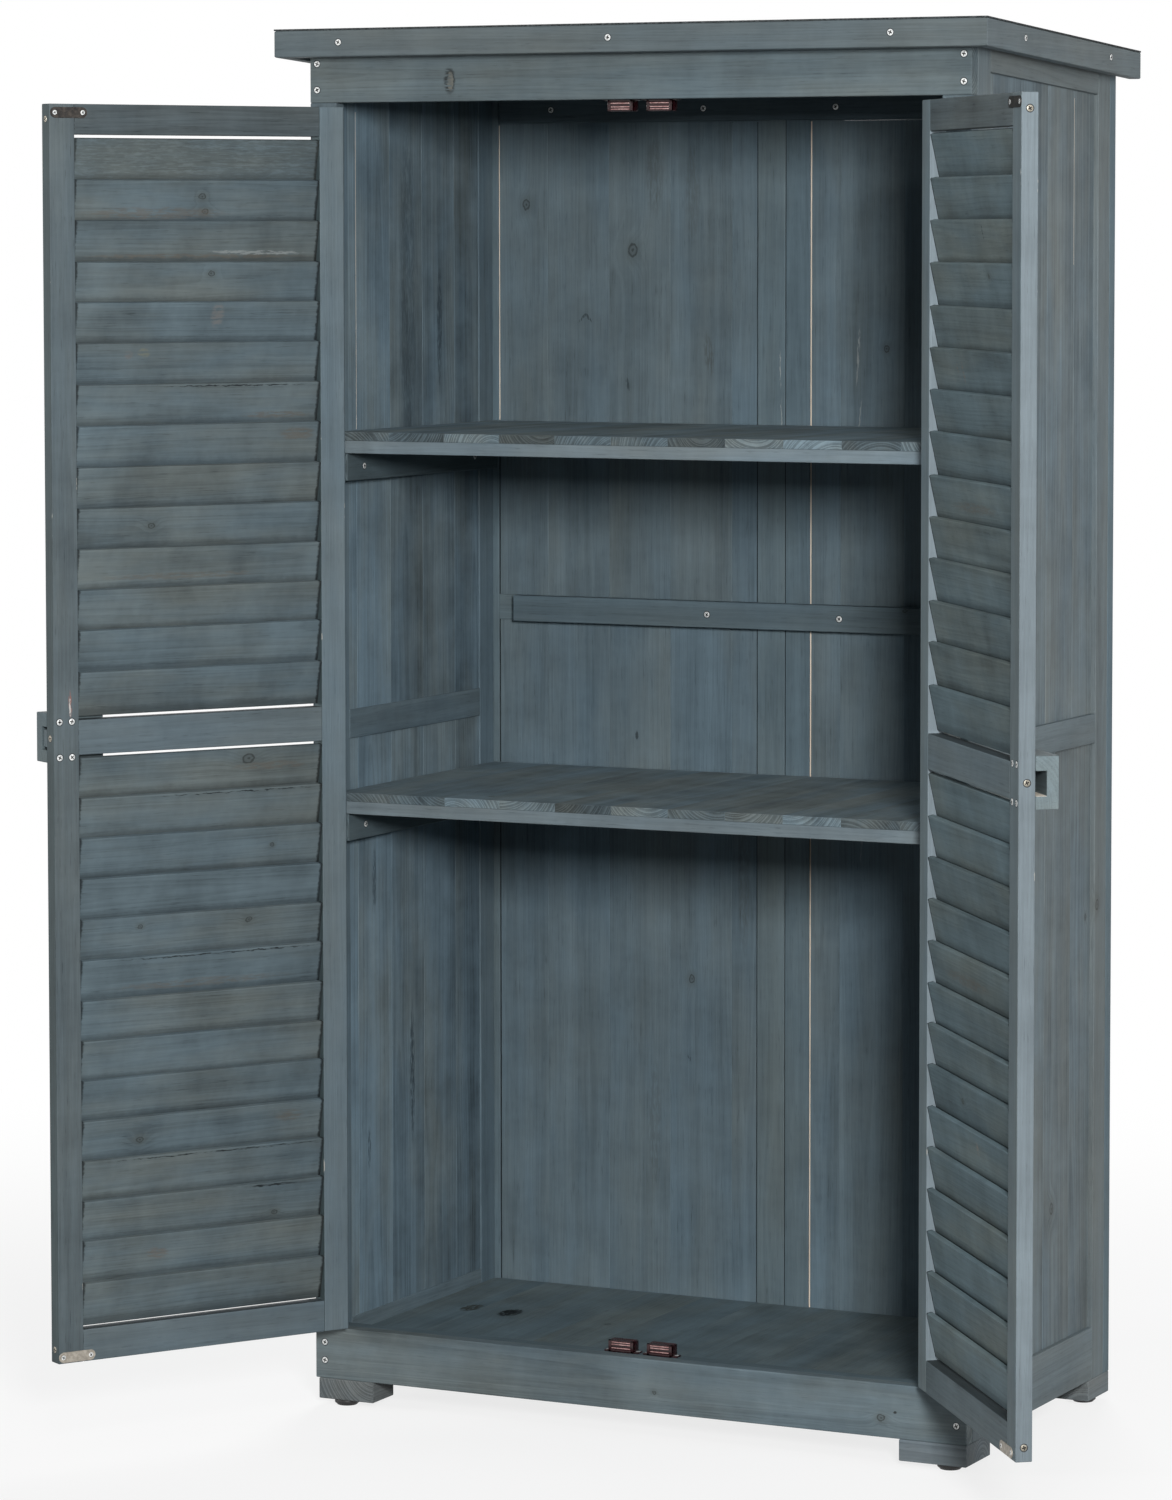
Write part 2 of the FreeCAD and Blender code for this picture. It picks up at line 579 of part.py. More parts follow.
# Screw heads on the carcass: (x, y, z) and the way each one faces
FRONT = (0, -1, 0)
HEADER_SCREWS = (1511.5, 1541.0)
BOTTOM_SCREWS = (52.0, 73.0)
FASCIA_SCREW_X = (-352.0, -14.0, 323.0)
FASCIA_SCREW_Z = 1564.0
FASCIA_SIDE_SCREW_Y = (81.0, 340.0)
BACK_TOP_SCREW_X = (-301.0, -100.0, 70.0, 271.0)
BACK_MID_SCREW_X = (-95.0, 76.0)
SUPPORT_SCREW_Y = (65.0, 340.0)
EAR_SCREW = CATCH_BODY / 2 + CATCH_EAR / 2
FASCIA_MIDDLE = 14.8
for side in (-1, 1):
    for z in HEADER_SCREWS:
        carcass_heads.append(head((side * 396.0, 0, z), FRONT))
    for z in BOTTOM_SCREWS:
        carcass_heads.append(head((side * 393.0, 0, z), FRONT))
    for y in FASCIA_SIDE_SCREW_Y:
        carcass_heads.append(head((side * ROOF_HALF, y, roof_top(y) - FASCIA_MIDDLE), (side, 0, 0)))
    for top in SHELF_TOPS.values():
        z = top - SHELF_BOARD - SHELF_BATTEN - SUPPORT_HEIGHT / 2
        for y in SUPPORT_SCREW_Y:
            carcass_heads.append(head((side * (INNER - BATTEN), y, z), (-side, 0, 0)))
for x in FASCIA_SCREW_X:
    carcass_heads.append(head((x, -OVERHANG, FASCIA_SCREW_Z), FRONT))
for x in BACK_TOP_SCREW_X:
    carcass_heads.append(head((x, BACK_FACE - BATTEN, 1495.5), FRONT))
for x in BACK_MID_SCREW_X:
    carcass_heads.append(head((x, BACK_FACE - BATTEN, 897.5), FRONT))
catch_heads = []
for z, way in catch_ends:
    for x in CATCH_MIDDLES:
        for end in (-1, 1):
            at = (x + end * EAR_SCREW, CATCH_FRONT + CATCH_DEPTH / 2, z + way * CATCH_BASE)
            catch_heads.append(small_head(at, (0, 0, way)))
keep("carcass_screws", carcass_heads + catch_heads)

os.makedirs("parts", exist_ok=True)
for node, solids in saved.items():
    shape = solids[0] if len(solids) == 1 else Part.makeCompound(solids)
    shape.translate(FreeCAD.Vector(MOVE_X, MOVE_Y, 0))
    shape.exportStep("parts/" + node + ".step")
print(len(saved), "nodes,", sum(len(solids) for solids in saved.values()), "solids")
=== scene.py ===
import math
import random

import bmesh
import bpy
from mathutils import Matrix, Vector


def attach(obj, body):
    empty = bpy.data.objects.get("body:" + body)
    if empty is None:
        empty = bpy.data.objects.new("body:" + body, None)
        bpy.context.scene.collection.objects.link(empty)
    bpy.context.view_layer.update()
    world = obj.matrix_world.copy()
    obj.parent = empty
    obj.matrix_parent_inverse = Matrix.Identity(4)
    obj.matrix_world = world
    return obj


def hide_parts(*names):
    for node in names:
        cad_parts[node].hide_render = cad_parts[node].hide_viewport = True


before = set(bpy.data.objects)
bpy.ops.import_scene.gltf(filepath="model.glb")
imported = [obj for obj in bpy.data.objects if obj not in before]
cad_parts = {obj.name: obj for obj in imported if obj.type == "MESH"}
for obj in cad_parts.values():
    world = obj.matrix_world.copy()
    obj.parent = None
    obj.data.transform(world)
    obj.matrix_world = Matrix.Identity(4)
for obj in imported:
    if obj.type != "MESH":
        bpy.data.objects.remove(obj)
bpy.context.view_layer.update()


# Front foot blocks: two short pieces of sawn softwood under the front corners,
# nailed up into the bottom board and stained with it. The left one turns its
# saw-cut end with the rings to the front, the right one lies along the front.
HALF = 405.0
DEPTH = 435.0
TIMBER = 18.0
INNER = HALF - TIMBER
FOOT_TOP = 31.0
FOOT_BOTTOM = 7.0
FOOT_EDGE = 1.2
FRONT_FEET = (((-401.0, -330.0), (0.0, 50.0), "y"), ((325.0, HALF), (0.0, 70.0), "x"))

# Sizes are millimetres from the middle of the cabinet's front face, at the
# ground. STAND sets them in the frame, which is in metres.
STAND = Matrix.Scale(0.001, 4) @ Matrix.Translation((-16.72, -52.87, 0.0))
AXES = {"x": Vector((1, 0, 0)), "y": Vector((0, 1, 0)), "z": Vector((0, 0, 1))}
SHARP_TURN = 0.4
FACES_SO = 0.8

# A knot is (along, across, radius) on its board, in metres from its middle. A
# mark is (along, across, half length, half width, slant, amount, colour).
NO_KNOT = (9.0, 9.0, 0.004)
NO_MARK = (9.0, 9.0, 0.001, 0.001, 0.0, 0.0, (0.0, 0.0, 0.0))


def oblong(wide, thick):
    """The outline of a plain board, (across, through) from its middle."""
    return [(a * wide / 2, b * thick / 2) for a, b in ((-1, -1), (1, -1), (1, 1), (-1, 1))]


def laid(grain, across, through):
    """Turns a board so that its length, width and thickness follow three axes."""
    return Matrix((grain, across, through)).transposed().to_4x4()


def stick(x0, x1, y0, y1, z0, z1, grain):
    """A plain board as (outline across and through it, length, its place)."""
    low = Vector((min(x0, x1), min(y0, y1), min(z0, z1)))
    high = Vector((max(x0, x1), max(y0, y1), max(z0, z1)))
    size = {"x": high.x - low.x, "y": high.y - low.y, "z": high.z - low.z}
    across, through = sorted((k for k in "xyz" if k != grain), key=lambda k: -size[k])
    place = Matrix.Translation((low + high) / 2) @ laid(AXES[grain], AXES[across], AXES[through])
    return oblong(size[across], size[through]), size[grain], place


def shape_board(board, ease=0.8, roofline=None, steps=2):
    """Draws a board out along its grain, trims it to the roof and eases its edges."""
    outline, length, place = board
    bm = bmesh.new()
    start = [bm.verts.new((-length / 2, a, b)) for a, b in outline]
    end = [bm.verts.new((length / 2, a, b)) for a, b in outline]
    if roofline:
        for v in end:
            at = place @ v.co
            v.co.x += roofline(at.y) - at.z
    bm.faces.new(start[::-1])
    bm.faces.new(end)
    for i in range(len(outline)):
        j = (i + 1) % len(outline)
        bm.faces.new((start[i], start[j], end[j], end[i]))
    bmesh.ops.recalc_face_normals(bm, faces=bm.faces)
    arris = set()
    if ease:
        sharp = [e for e in bm.edges if e.calc_face_angle(0.0) > SHARP_TURN]
        made = bmesh.ops.bevel(bm, geom=sharp, offset=ease, offset_type="OFFSET", segments=steps,
                               profile=0.5, affect="EDGES", clamp_overlap=True)
        arris = set(made["faces"])
    bm.verts.index_update()
    co = [v.co.copy() for v in bm.verts]
    faces = [[v.index for v in f.verts] for f in bm.faces]
    cuts = []
    for f in bm.faces:
        cuts.append((1.0 if abs(f.normal.x) > FACES_SO else 0.0,
                     1.0 if abs(f.normal.y) > FACES_SO else 0.0, 1.0 if f in arris else 0.0))
    bm.free()
    if place.to_3x3().determinant() < 0:
        faces = [f[::-1] for f in faces]
    return {"co": co, "faces": faces, "cuts": cuts, "place": place}


def flat_vectors(mesh, label, domain, values):
    """Writes three numbers for each point or face of a mesh under a name."""
    mesh.attributes.new(label, "FLOAT_VECTOR", domain).data.foreach_set("vector", values)


def lay_up(name, boards, material, body, *nodes, timber=None, knots=None, tones=None,
           marks=None, knotty=0.4):
    """Joins shaped boards into one piece that stands for the CAD nodes. Each board
    gets its own draw of heartwood place, tone, warmth and knots, seeded by timber.
    knots and marks give a numbered board its own, tones give (tone, warmth)."""
    draw = random.Random(timber if timber is not None else name)
    points, faces, grain, stock, pith, knot_a, knot_b, cuts = [], [], [], [], [], [], [], []
    mark_places, mark_kinds, mark_colours = ([], []), ([], []), ([], [])
    for number, board in enumerate(boards):
        first = len(points)
        wide = max(abs(p.y) for p in board["co"]) / 1000
        long = max(abs(p.x) for p in board["co"]) / 1000
        seed, tone, warmth = draw.random(), draw.gauss(0, 0.5), draw.gauss(0, 0.5)
        heart = (draw.uniform(-1.4, 1.4) * wide, draw.choice((-1, 1)) * draw.uniform(0.012, 0.05),
                 draw.uniform(-0.012, 0.012))
        spots = []
        for _ in range(2):
            at = (draw.uniform(-0.9, 0.9) * long, draw.uniform(-0.8, 0.8) * wide,
                  draw.uniform(0.0016, 0.0048))
            spots.append(at if draw.random() < min(knotty, long * 0.5) else NO_KNOT)
        if knots and number in knots:
            spots = (list(knots[number]) + [NO_KNOT, NO_KNOT])[:2]
        if tones:
            tone, warmth = tones[number % len(tones)]
        for p in board["co"]:
            points.append(STAND @ (board["place"] @ p))
            grain.extend((p.x / 1000, p.y / 1000, p.z / 1000))
        count = len(board["co"])
        stock.extend((seed, tone, warmth) * count)
        pith.extend(heart * count)
        knot_a.extend(spots[0] * count)
        knot_b.extend(spots[1] * count)
        own_marks = (list((marks or {}).get(number, ())) + [NO_MARK, NO_MARK])[:2]
        for slot, (along, across, long, wide, slant, amount, colour) in enumerate(own_marks):
            mark_places[slot].extend((along, across, long) * count)
            mark_kinds[slot].extend((wide, slant, amount) * count)
            mark_colours[slot].extend(colour[:3] * count)
        faces.extend([[first + i for i in f] for f in board["faces"]])
        for cut in board["cuts"]:
            cuts.extend(cut)
    mesh = bpy.data.meshes.new(name)
    mesh.from_pydata(points, [], faces)
    for label, values in (("grain", grain), ("stock", stock), ("pith", pith),
                          ("knot_a", knot_a), ("knot_b", knot_b)):
        flat_vectors(mesh, label, "POINT", values)
    if marks:
        for slot in (0, 1):
            for label, values in (("place", mark_places), ("kind", mark_kinds), ("colour", mark_colours)):
                flat_vectors(mesh, f"mark_{label}_{slot}", "POINT", values[slot])
    flat_vectors(mesh, "cuts", "FACE", cuts)
    mesh.materials.append(material)
    piece = bpy.data.objects.new(name, mesh)
    bpy.context.scene.collection.objects.link(piece)
    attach(piece, body)
    if nodes:
        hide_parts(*nodes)
    return piece


def srgb(r, g, b):
    """A colour read on the usual 0 to 255 scale, as the shader wants it."""
    shares = (r / 255, g / 255, b / 255)
    linear = (((c + 0.055) / 1.055) ** 2.4 if c > 0.0393 else c / 12.92 for c in shares)
    return tuple(linear) + (1.0,)


def knit(tree, kind, *inputs, out=0, **settings):
    """Adds a shader node, feeds its inputs in order and gives back one output."""
    node = tree.nodes.new("ShaderNode" + kind)
    for key, value in settings.items():
        setattr(node, key, value)
    for socket, value in zip(node.inputs, inputs):
        if value is None:
            continue
        if isinstance(value, bpy.types.NodeSocket):
            tree.links.new(value, socket)
        else:
            socket.default_value = value
    return node.outputs[out]


def calc(tree, operation, *inputs):
    """One step of arithmetic on values of the surface."""
    return knit(tree, "Math", *inputs, operation=operation)


def rise(tree, value, low, high, to_low=0.0, to_high=1.0):
    """Smooth step from to_low to to_high as value goes from low to high."""
    return knit(tree, "MapRange", value, low, high, to_low, to_high, interpolation_type="SMOOTHSTEP")


def tint(tree, amount, first, second):
    """Mixes two colours by an amount from 0 to 1."""
    node = tree.nodes.new("ShaderNodeMix")
    node.data_type = "RGBA"
    for socket, value in ((node.inputs[0], amount), (node.inputs[6], first), (node.inputs[7], second)):
        if isinstance(value, bpy.types.NodeSocket):
            tree.links.new(value, socket)
        else:
            socket.default_value = value
    return node.outputs[2]


def noise(tree, vector, scale, detail, rough=0.55, out=0):
    """Clouds, streaks or fibre, by a scale for each of the three ways."""
    moved = knit(tree, "VectorMath", vector, scale, operation="MULTIPLY")
    return knit(tree, "TexNoise", moved, None, 1.0, detail, rough, out=out)


def axes_of(tree, label):
    """The three numbers that a board carries under a name."""
    return knit(tree, "SeparateXYZ", knit(tree, "Attribute", attribute_name=label, out=1)).node.outputs


def new_finish(name):
    """An empty material with its node tree and its shader."""
    material = bpy.data.materials.new(name)
    material.use_nodes = True
    return material, material.node_tree, material.node_tree.nodes["Principled BSDF"]


def relief(tree, shader, height, strength, depth):
    """Lets a height stand out of the surface by a depth in metres."""
    bump = knit(tree, "Bump", strength, depth)
    tree.links.new(height, bump.node.inputs["Height"])
    tree.links.new(bump, shader.inputs["Normal"])


def distance(tree, a, b):
    """How far a step of a one way and b the other leads."""
    squares = calc(tree, "ADD", calc(tree, "MULTIPLY", a, a), calc(tree, "MULTIPLY", b, b))
    return calc(tree, "SQRT", squares)


def knots_in(tree, along, across):
    """What a board's two knots do: the push they give the rings, dark core and browned halo."""
    bulge, core, halo = 0.0, 0.0, 0.0
    for label in ("knot_a", "knot_b"):
        knot = axes_of(tree, label)
        away_along = calc(tree, "MULTIPLY", calc(tree, "SUBTRACT", along, knot[0]), 0.74)
        away = distance(tree, away_along, calc(tree, "SUBTRACT", across, knot[1]))
        share = calc(tree, "DIVIDE", away, knot[2])
        near = calc(tree, "EXPONENT", calc(tree, "MULTIPLY", calc(tree, "MULTIPLY", share, share), -0.10))
        bulge = calc(tree, "MULTIPLY_ADD", near, calc(tree, "MULTIPLY", knot[2], 1.7), bulge)
        rim = calc(tree, "MULTIPLY", rise(tree, share, 0.55, 0.92), rise(tree, share, 1.25, 1.0))
        inside = calc(tree, "MULTIPLY", rise(tree, share, 1.1, 0.8), 0.3)
        heart = calc(tree, "MAXIMUM", rise(tree, share, 0.42, 0.15), inside)
        core = calc(tree, "MAXIMUM", core, calc(tree, "MAXIMUM", rim, heart))
        halo = calc(tree, "MAXIMUM", halo, rise(tree, share, 3.2, 1.0))
    return bulge, core, halo


def marks_on(tree, colour, own, along, across):
    """Lays a board's two marks over its colour, broken up where the fibre is worn."""
    worn = rise(tree, noise(tree, own, (90.0, 520.0, 520.0), 2.0), 0.36, 0.56)
    for slot in (0, 1):
        spot = axes_of(tree, f"mark_place_{slot}")
        wide, slant, amount = axes_of(tree, f"mark_kind_{slot}")
        off_along = calc(tree, "SUBTRACT", along, spot[0])
        off_across = calc(tree, "SUBTRACT", across, spot[1])
        off_across = calc(tree, "SUBTRACT", off_across, calc(tree, "MULTIPLY", off_along, slant))
        part_along = calc(tree, "DIVIDE", off_along, spot[2])
        part_across = calc(tree, "DIVIDE", off_across, wide)
        apart = calc(tree, "ADD", calc(tree, "MULTIPLY", part_along, part_along),
                     calc(tree, "MULTIPLY", part_across, part_across))
        amount = calc(tree, "MULTIPLY", rise(tree, apart, 1.35, 0.35), calc(tree, "MULTIPLY", amount, worn))
        mark_colour = knit(tree, "Attribute", attribute_name=f"mark_colour_{slot}", out=1)
        colour = tint(tree, amount, colour, mark_colour)
    return colour


def stained_wood(name, stain, warm=None, tone=0.09, rings=0.10, streaks=0.16, blotch=0.5, ends=1.0,
                 end_rings=0.6, end_tone=0.0, sides=1.0, edge_stain_and_shade=None, ring_width=0.0042,
                 chips=0.0, painted_shade=0.0, marked=False, roughness=0.62):
    """Grey-blue stain on fir: growth rings about a heart line, fibre, knots, worn arrises.
    ends and sides are how much darker or paler the sawn ends and the edges are, chips
    how often an arris is chipped bare, painted_shade how much painted shade darkens a
    slat along its lower edge, where it lies deep behind the slat below."""
    material, tree, shader = new_finish(name)
    fibre = 0.17
    grain = knit(tree, "Attribute", attribute_name="grain", out=1)
    seed, board_tone, board_warmth = axes_of(tree, "stock")
    end, side, arris = axes_of(tree, "cuts")
    pith = axes_of(tree, "pith")

    # Places on the board: own differs from board to board, along, across and
    # through sway like the grain, true_along and the others only look ragged.
    apart = knit(tree, "VectorMath", (31.7, 11.3, 7.9), operation="SCALE")
    tree.links.new(seed, apart.node.inputs["Scale"])
    own = knit(tree, "VectorMath", grain, apart, operation="ADD")
    half_way = (0.5, 0.5, 0.5)
    sway = knit(tree, "VectorMath", noise(tree, own, (1.7, 7.0, 7.0), 2.0, out=1), half_way,
                operation="SUBTRACT")
    sway = knit(tree, "VectorMath", sway, (0.0, 0.016, 0.016), grain, operation="MULTIPLY_ADD")
    along, across, through = knit(tree, "SeparateXYZ", sway).node.outputs
    ragged = knit(tree, "VectorMath", noise(tree, own, (130.0, 260.0, 260.0), 2.0, out=1), half_way,
                  operation="SUBTRACT")
    ragged = knit(tree, "VectorMath", ragged, (0.004, 0.004, 0.004), grain, operation="MULTIPLY_ADD")
    true_along, true_across, true_through = knit(tree, "SeparateXYZ", ragged).node.outputs

    # Growth rings about the heart line, pushed aside by the knots
    bulge, core, halo = knots_in(tree, true_along, true_across)
    radius = distance(tree, calc(tree, "SUBTRACT", across, pith[0]), calc(tree, "SUBTRACT", through, pith[1]))
    radius = calc(tree, "MULTIPLY_ADD", along, pith[2], radius)
    radius = calc(tree, "ADD", radius, bulge)
    own_radius = calc(tree, "MULTIPLY_ADD", seed, 40.0, calc(tree, "MULTIPLY", radius, 90.0))
    uneven = knit(tree, "TexNoise", None, own_radius, 1.0, 2.0, 0.5, noise_dimensions="1D")
    phase = calc(tree, "MULTIPLY_ADD", radius, 1 / ring_width, calc(tree, "MULTIPLY", uneven, 3.0))
    turn = calc(tree, "FRACT", phase)
    late = calc(tree, "MULTIPLY", rise(tree, turn, 0.25, 0.86), rise(tree, turn, 1.0, 0.90))

    # Streaks, fibre and the uneven brushing of the stain
    streak = noise(tree, own, (1.3, 42.0, 42.0), 5.0, 0.62)
    fine = noise(tree, own, (16.0, 480.0, 480.0), 3.0, 0.6)
    dash = noise(tree, own, (38.0, 620.0, 620.0), 2.0)
    cloud = noise(tree, own, (3.2, 11.0, 11.0), 4.0, 0.6)
    brushed = knit(tree, "VectorMath", own, (2.0, 9.0, 4.0), operation="ADD")
    brush = noise(tree, brushed, (13.0, 9.0, 9.0), 4.0, 0.65)
    paled = knit(tree, "VectorMath", own, (5.0, 3.0, 2.0), operation="ADD")
    pale = noise(tree, paled, (3.2, 24.0, 24.0), 3.0)

    value = calc(tree, "MULTIPLY_ADD", board_tone, tone, 1.0)
    for source, amount in ((streak, streaks * 3.2), (fine, fibre * 2.4), (pale, streaks * 1.4),
                           (brush, blotch * 1.15)):
        value = calc(tree, "MULTIPLY_ADD", calc(tree, "SUBTRACT", source, 0.5), amount, value)
    value = calc(tree, "MULTIPLY_ADD", rise(tree, dash, 0.60, 0.74), -fibre * 1.3, value)
    face_rings = calc(tree, "MULTIPLY", calc(tree, "SUBTRACT", 1.0, end), rings)
    value = calc(tree, "MULTIPLY_ADD", calc(tree, "SUBTRACT", 0.35, late), face_rings, value)
    sawn_rings = calc(tree, "MULTIPLY", end, end_rings)
    value = calc(tree, "MULTIPLY_ADD", calc(tree, "SUBTRACT", late, 0.30), sawn_rings, value)
    value = calc(tree, "MULTIPLY", value, calc(tree, "MULTIPLY_ADD", end, ends - 1.0, 1.0))
    value = calc(tree, "MULTIPLY", value, calc(tree, "MULTIPLY_ADD", side, sides - 1.0, 1.0))
    if end_tone:
        own_end = calc(tree, "MULTIPLY", end, calc(tree, "MULTIPLY", board_tone, end_tone))
        value = calc(tree, "MULTIPLY", value, calc(tree, "ADD", own_end, 1.0))
    # Painted shade: the slat's face towards the cabinet darkens towards its lower edge, which lies deep
    # behind the slat below.
    if painted_shade:
        outer = rise(tree, true_through, 0.0, 0.002)
        low_edge_shade = calc(tree, "MULTIPLY", rise(tree, true_across, -0.011, -0.0195), outer)
        value = calc(tree, "MULTIPLY", value, calc(tree, "MULTIPLY_ADD", low_edge_shade, -painted_shade, 1.0))
        # Near its ends, where it goes into the stiles, the slat is darkened as well.
        by_stile = rise(tree, calc(tree, "ABSOLUTE", true_along), 0.1492, 0.1522)
        value = calc(tree, "MULTIPLY", value, calc(tree, "MULTIPLY_ADD", by_stile, -0.8, 1.0))

    def leaning(r, g, b):
        return (stain[0] * r, stain[1] * g, stain[2] * b, 1.0)

    lean = calc(tree, "MULTIPLY_ADD", board_warmth, 0.28, 0.36)
    lean = calc(tree, "MULTIPLY_ADD", calc(tree, "SUBTRACT", cloud, 0.5), blotch * 4.2, lean)
    lean = knit(tree, "Clamp", lean)
    colour = tint(tree, lean, leaning(0.95, 1.0, 1.035), warm or leaning(1.085, 0.995, 0.90))
    if edge_stain_and_shade:
        colour = tint(tree, side, colour, edge_stain_and_shade)
    grey = knit(tree, "CombineXYZ", value, value, value)
    colour = knit(tree, "VectorMath", colour, grey, operation="MULTIPLY")
    colour = tint(tree, calc(tree, "MULTIPLY", halo, 0.38), colour, leaning(0.74, 0.68, 0.60))
    colour = tint(tree, calc(tree, "MULTIPLY", core, 0.85), colour, leaning(0.34, 0.30, 0.27))
    if marked:
        colour = marks_on(tree, colour, own, true_along, true_across)
    if chips:
        bare = noise(tree, own, (30.0, 150.0, 150.0), 3.0, 0.7)
        bare = calc(tree, "MULTIPLY", rise(tree, bare, 0.72 - 0.05 * chips, 0.76 - 0.05 * chips), arris)
        colour = tint(tree, bare, colour, srgb(168, 168, 162))
    tree.links.new(colour, shader.inputs["Base Color"])
    shader.inputs["Roughness"].default_value = roughness
    shader.inputs["Specular IOR Level"].default_value = 0.16
    height = calc(tree, "MULTIPLY_ADD", fine, 0.55, calc(tree, "MULTIPLY", late, 0.25))
    relief(tree, shader, calc(tree, "MULTIPLY_ADD", streak, 0.5, height), 0.4, 0.0006)
    return material


foot_wood = stained_wood("stained_foot_blocks", srgb(112, 122, 128), rings=0.20, ends=0.80,
                         end_rings=0.42, blotch=0.6, ring_width=0.0036)
lay_up("front_feet", [
    shape_board(stick(*foot_x, *foot_y, FOOT_BOTTOM, FOOT_TOP, grain), FOOT_EDGE)
    for foot_x, foot_y, grain in FRONT_FEET
], foot_wood, "carcass", "foot_blocks_front", timber=41, tones=((-1.8, 1.8), (-1.2, 0.2)), knotty=0)


# Back foot blocks: the same sawn softwood, cut smaller, under the back
# corners. They are nailed up into the back corner stiles.
BACK_FOOT_X = 363.0
BACK_FOOT_Y = (370.0, DEPTH)
lay_up("back_feet", [
    shape_board(stick(side * BACK_FOOT_X, side * HALF, *BACK_FOOT_Y, FOOT_BOTTOM, FOOT_TOP, "y"), FOOT_EDGE)
    for side in (-1, 1)
], foot_wood, "carcass", "foot_blocks_back", timber=42)


# Glides: four turned buttons of black nylon, each on a nail driven up into
# its foot block. The rim is rounded and the tread is a little narrower.
GLIDE_PLACES = ((-372, 15), (378, 20), (-386, 403), (386, 403))
GLIDE_OUTLINE = ((0, 0.9), (9.6, 0.9), (10.2, 0), (11.4, 0.05), (12.0, 0.6), (12.6, 1.9),
                 (13.9, 2.3), (14.4, 3.1), (14.45, 5.6), (14.0, 6.7), (13.4, 7.0), (0, 7.0))


def turned(outline, at, axis=Vector((0, 0, 1)), sides=40):
    """Turns a (radius, height) outline about an axis that starts at a point."""
    frame_turn = Vector((0, 0, 1)).rotation_difference(axis).to_matrix()
    rings, points, faces = [], [], []
    for radius, height in outline:
        if radius == 0:
            rings.append([len(points)])
            points.append(Vector(at) + frame_turn @ Vector((0, 0, height)))
            continue
        rings.append(list(range(len(points), len(points) + sides)))
        for n in range(sides):
            a = math.tau * n / sides
            round_the_axis = Vector((radius * math.cos(a), radius * math.sin(a), height))
            points.append(Vector(at) + frame_turn @ round_the_axis)
    for low, high in zip(rings, rings[1:]):
        for n in range(sides):
            m = (n + 1) % sides
            quad = [low[n % len(low)], low[m % len(low)], high[m % len(high)], high[n % len(high)]]
            quad = [v for i, v in enumerate(quad) if v not in quad[:i]]
            if len(quad) > 2:
                faces.append(quad)
    return points, faces


def cast(name, parts, material, body, *nodes):
    """Joins plain parts of (points, faces) in millimetres into one piece for the CAD nodes."""
    crease = math.radians(32)
    points, faces = [], []
    for part_points, part_faces in parts:
        faces.extend([[len(points) + i for i in f] for f in part_faces])
        points.extend(STAND @ Vector(p) for p in part_points)
    mesh = bpy.data.meshes.new(name)
    mesh.from_pydata(points, [], faces)
    mesh.materials.append(material)
    mesh.shade_smooth()
    mesh.set_sharp_from_angle(angle=crease)
    piece = bpy.data.objects.new(name, mesh)
    bpy.context.scene.collection.objects.link(piece)
    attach(piece, body)
    if nodes:
        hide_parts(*nodes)
    return piece


def black_nylon():
    """Moulded nylon, dull where it has been scuffed."""
    material, tree, shader = new_finish("black_nylon")
    place = knit(tree, "TexCoord", out=3)
    speckle = noise(tree, place, (900.0, 900.0, 900.0), 2.0)
    scuff = noise(tree, place, (60.0, 60.0, 160.0), 3.0)
    tree.links.new(tint(tree, rise(tree, scuff, 0.45, 0.75), srgb(13, 13, 14), srgb(26, 26, 26)),
                   shader.inputs["Base Color"])
    tree.links.new(rise(tree, scuff, 0.3, 0.8, 0.42, 0.68), shader.inputs["Roughness"])
    relief(tree, shader, speckle, 0.15, 0.0002)
    return material


cast("turned_glides", [turned(GLIDE_OUTLINE, (x, y, 0)) for x, y in GLIDE_PLACES],
     black_nylon(), "carcass", "glides")


# Bottom board: one planed fir board across the front, on top of the feet.
# It is screwed to the side panels through its face, and closes the floor.
BOTTOM_BOARD_TOP = 91.0
lay_up("front_bottom_board", [
    shape_board(stick(-HALF, HALF, 0, TIMBER, FOOT_TOP, BOTTOM_BOARD_TOP, "x"), 1.4, steps=3),
], stained_wood("stained_bottom_board", srgb(99, 111, 116), rings=0.13, streaks=0.36, blotch=0.8,
                sides=1.06, marked=True),
    "carcass", "bottom_board", timber=3, tones=((0.0, 0.0),),
    knots={0: [(0.304, -0.008, 0.0034), (0.0283, -0.0067, 0.0018)]},
    marks={0: [(0.3207, -0.001, 0.0022, 0.0018, 0.0, 1.2, srgb(52, 56, 56))]})


# Front posts: two planed fir uprights between the bottom board and the
# header. The hinge leaves are screwed to their faces, the doors hide the rest.
HEADER_BOTTOM = 1497.0
POST = 34.0
OPENING_HALF = HALF - POST
post_wood = stained_wood("stained_posts", srgb(88, 100, 106), rings=0.08, streaks=0.15)
for post_side, post_name in ((-1, "left"), (1, "right")):
    lay_up(post_name + "_front_post", [
        shape_board(stick(post_side * OPENING_HALF, post_side * HALF, 0, TIMBER,
                          BOTTOM_BOARD_TOP, HEADER_BOTTOM, "z"), 1.2),
    ], post_wood, "carcass", "post_" + post_name, timber=7 + post_side)


# Header: a wide fir board across the front, its top edge planed to the fall
# of the roof. It is screwed to the side panels with two screws at each end.
OVERHANG = 30.0
ROOF_FRONT_TOP = 1580.0
FALL = math.tan(math.radians(3.0))
FELT = 2.0
DECK = 10.0


def roof_top(y):
    """How high the roof's upper face lies at a depth y."""
    return ROOF_FRONT_TOP - (y + OVERHANG) * FALL


def deck_under(y):
    """How high the underside of the roof boards lies at a depth y."""
    return roof_top(y) - FELT - DECK


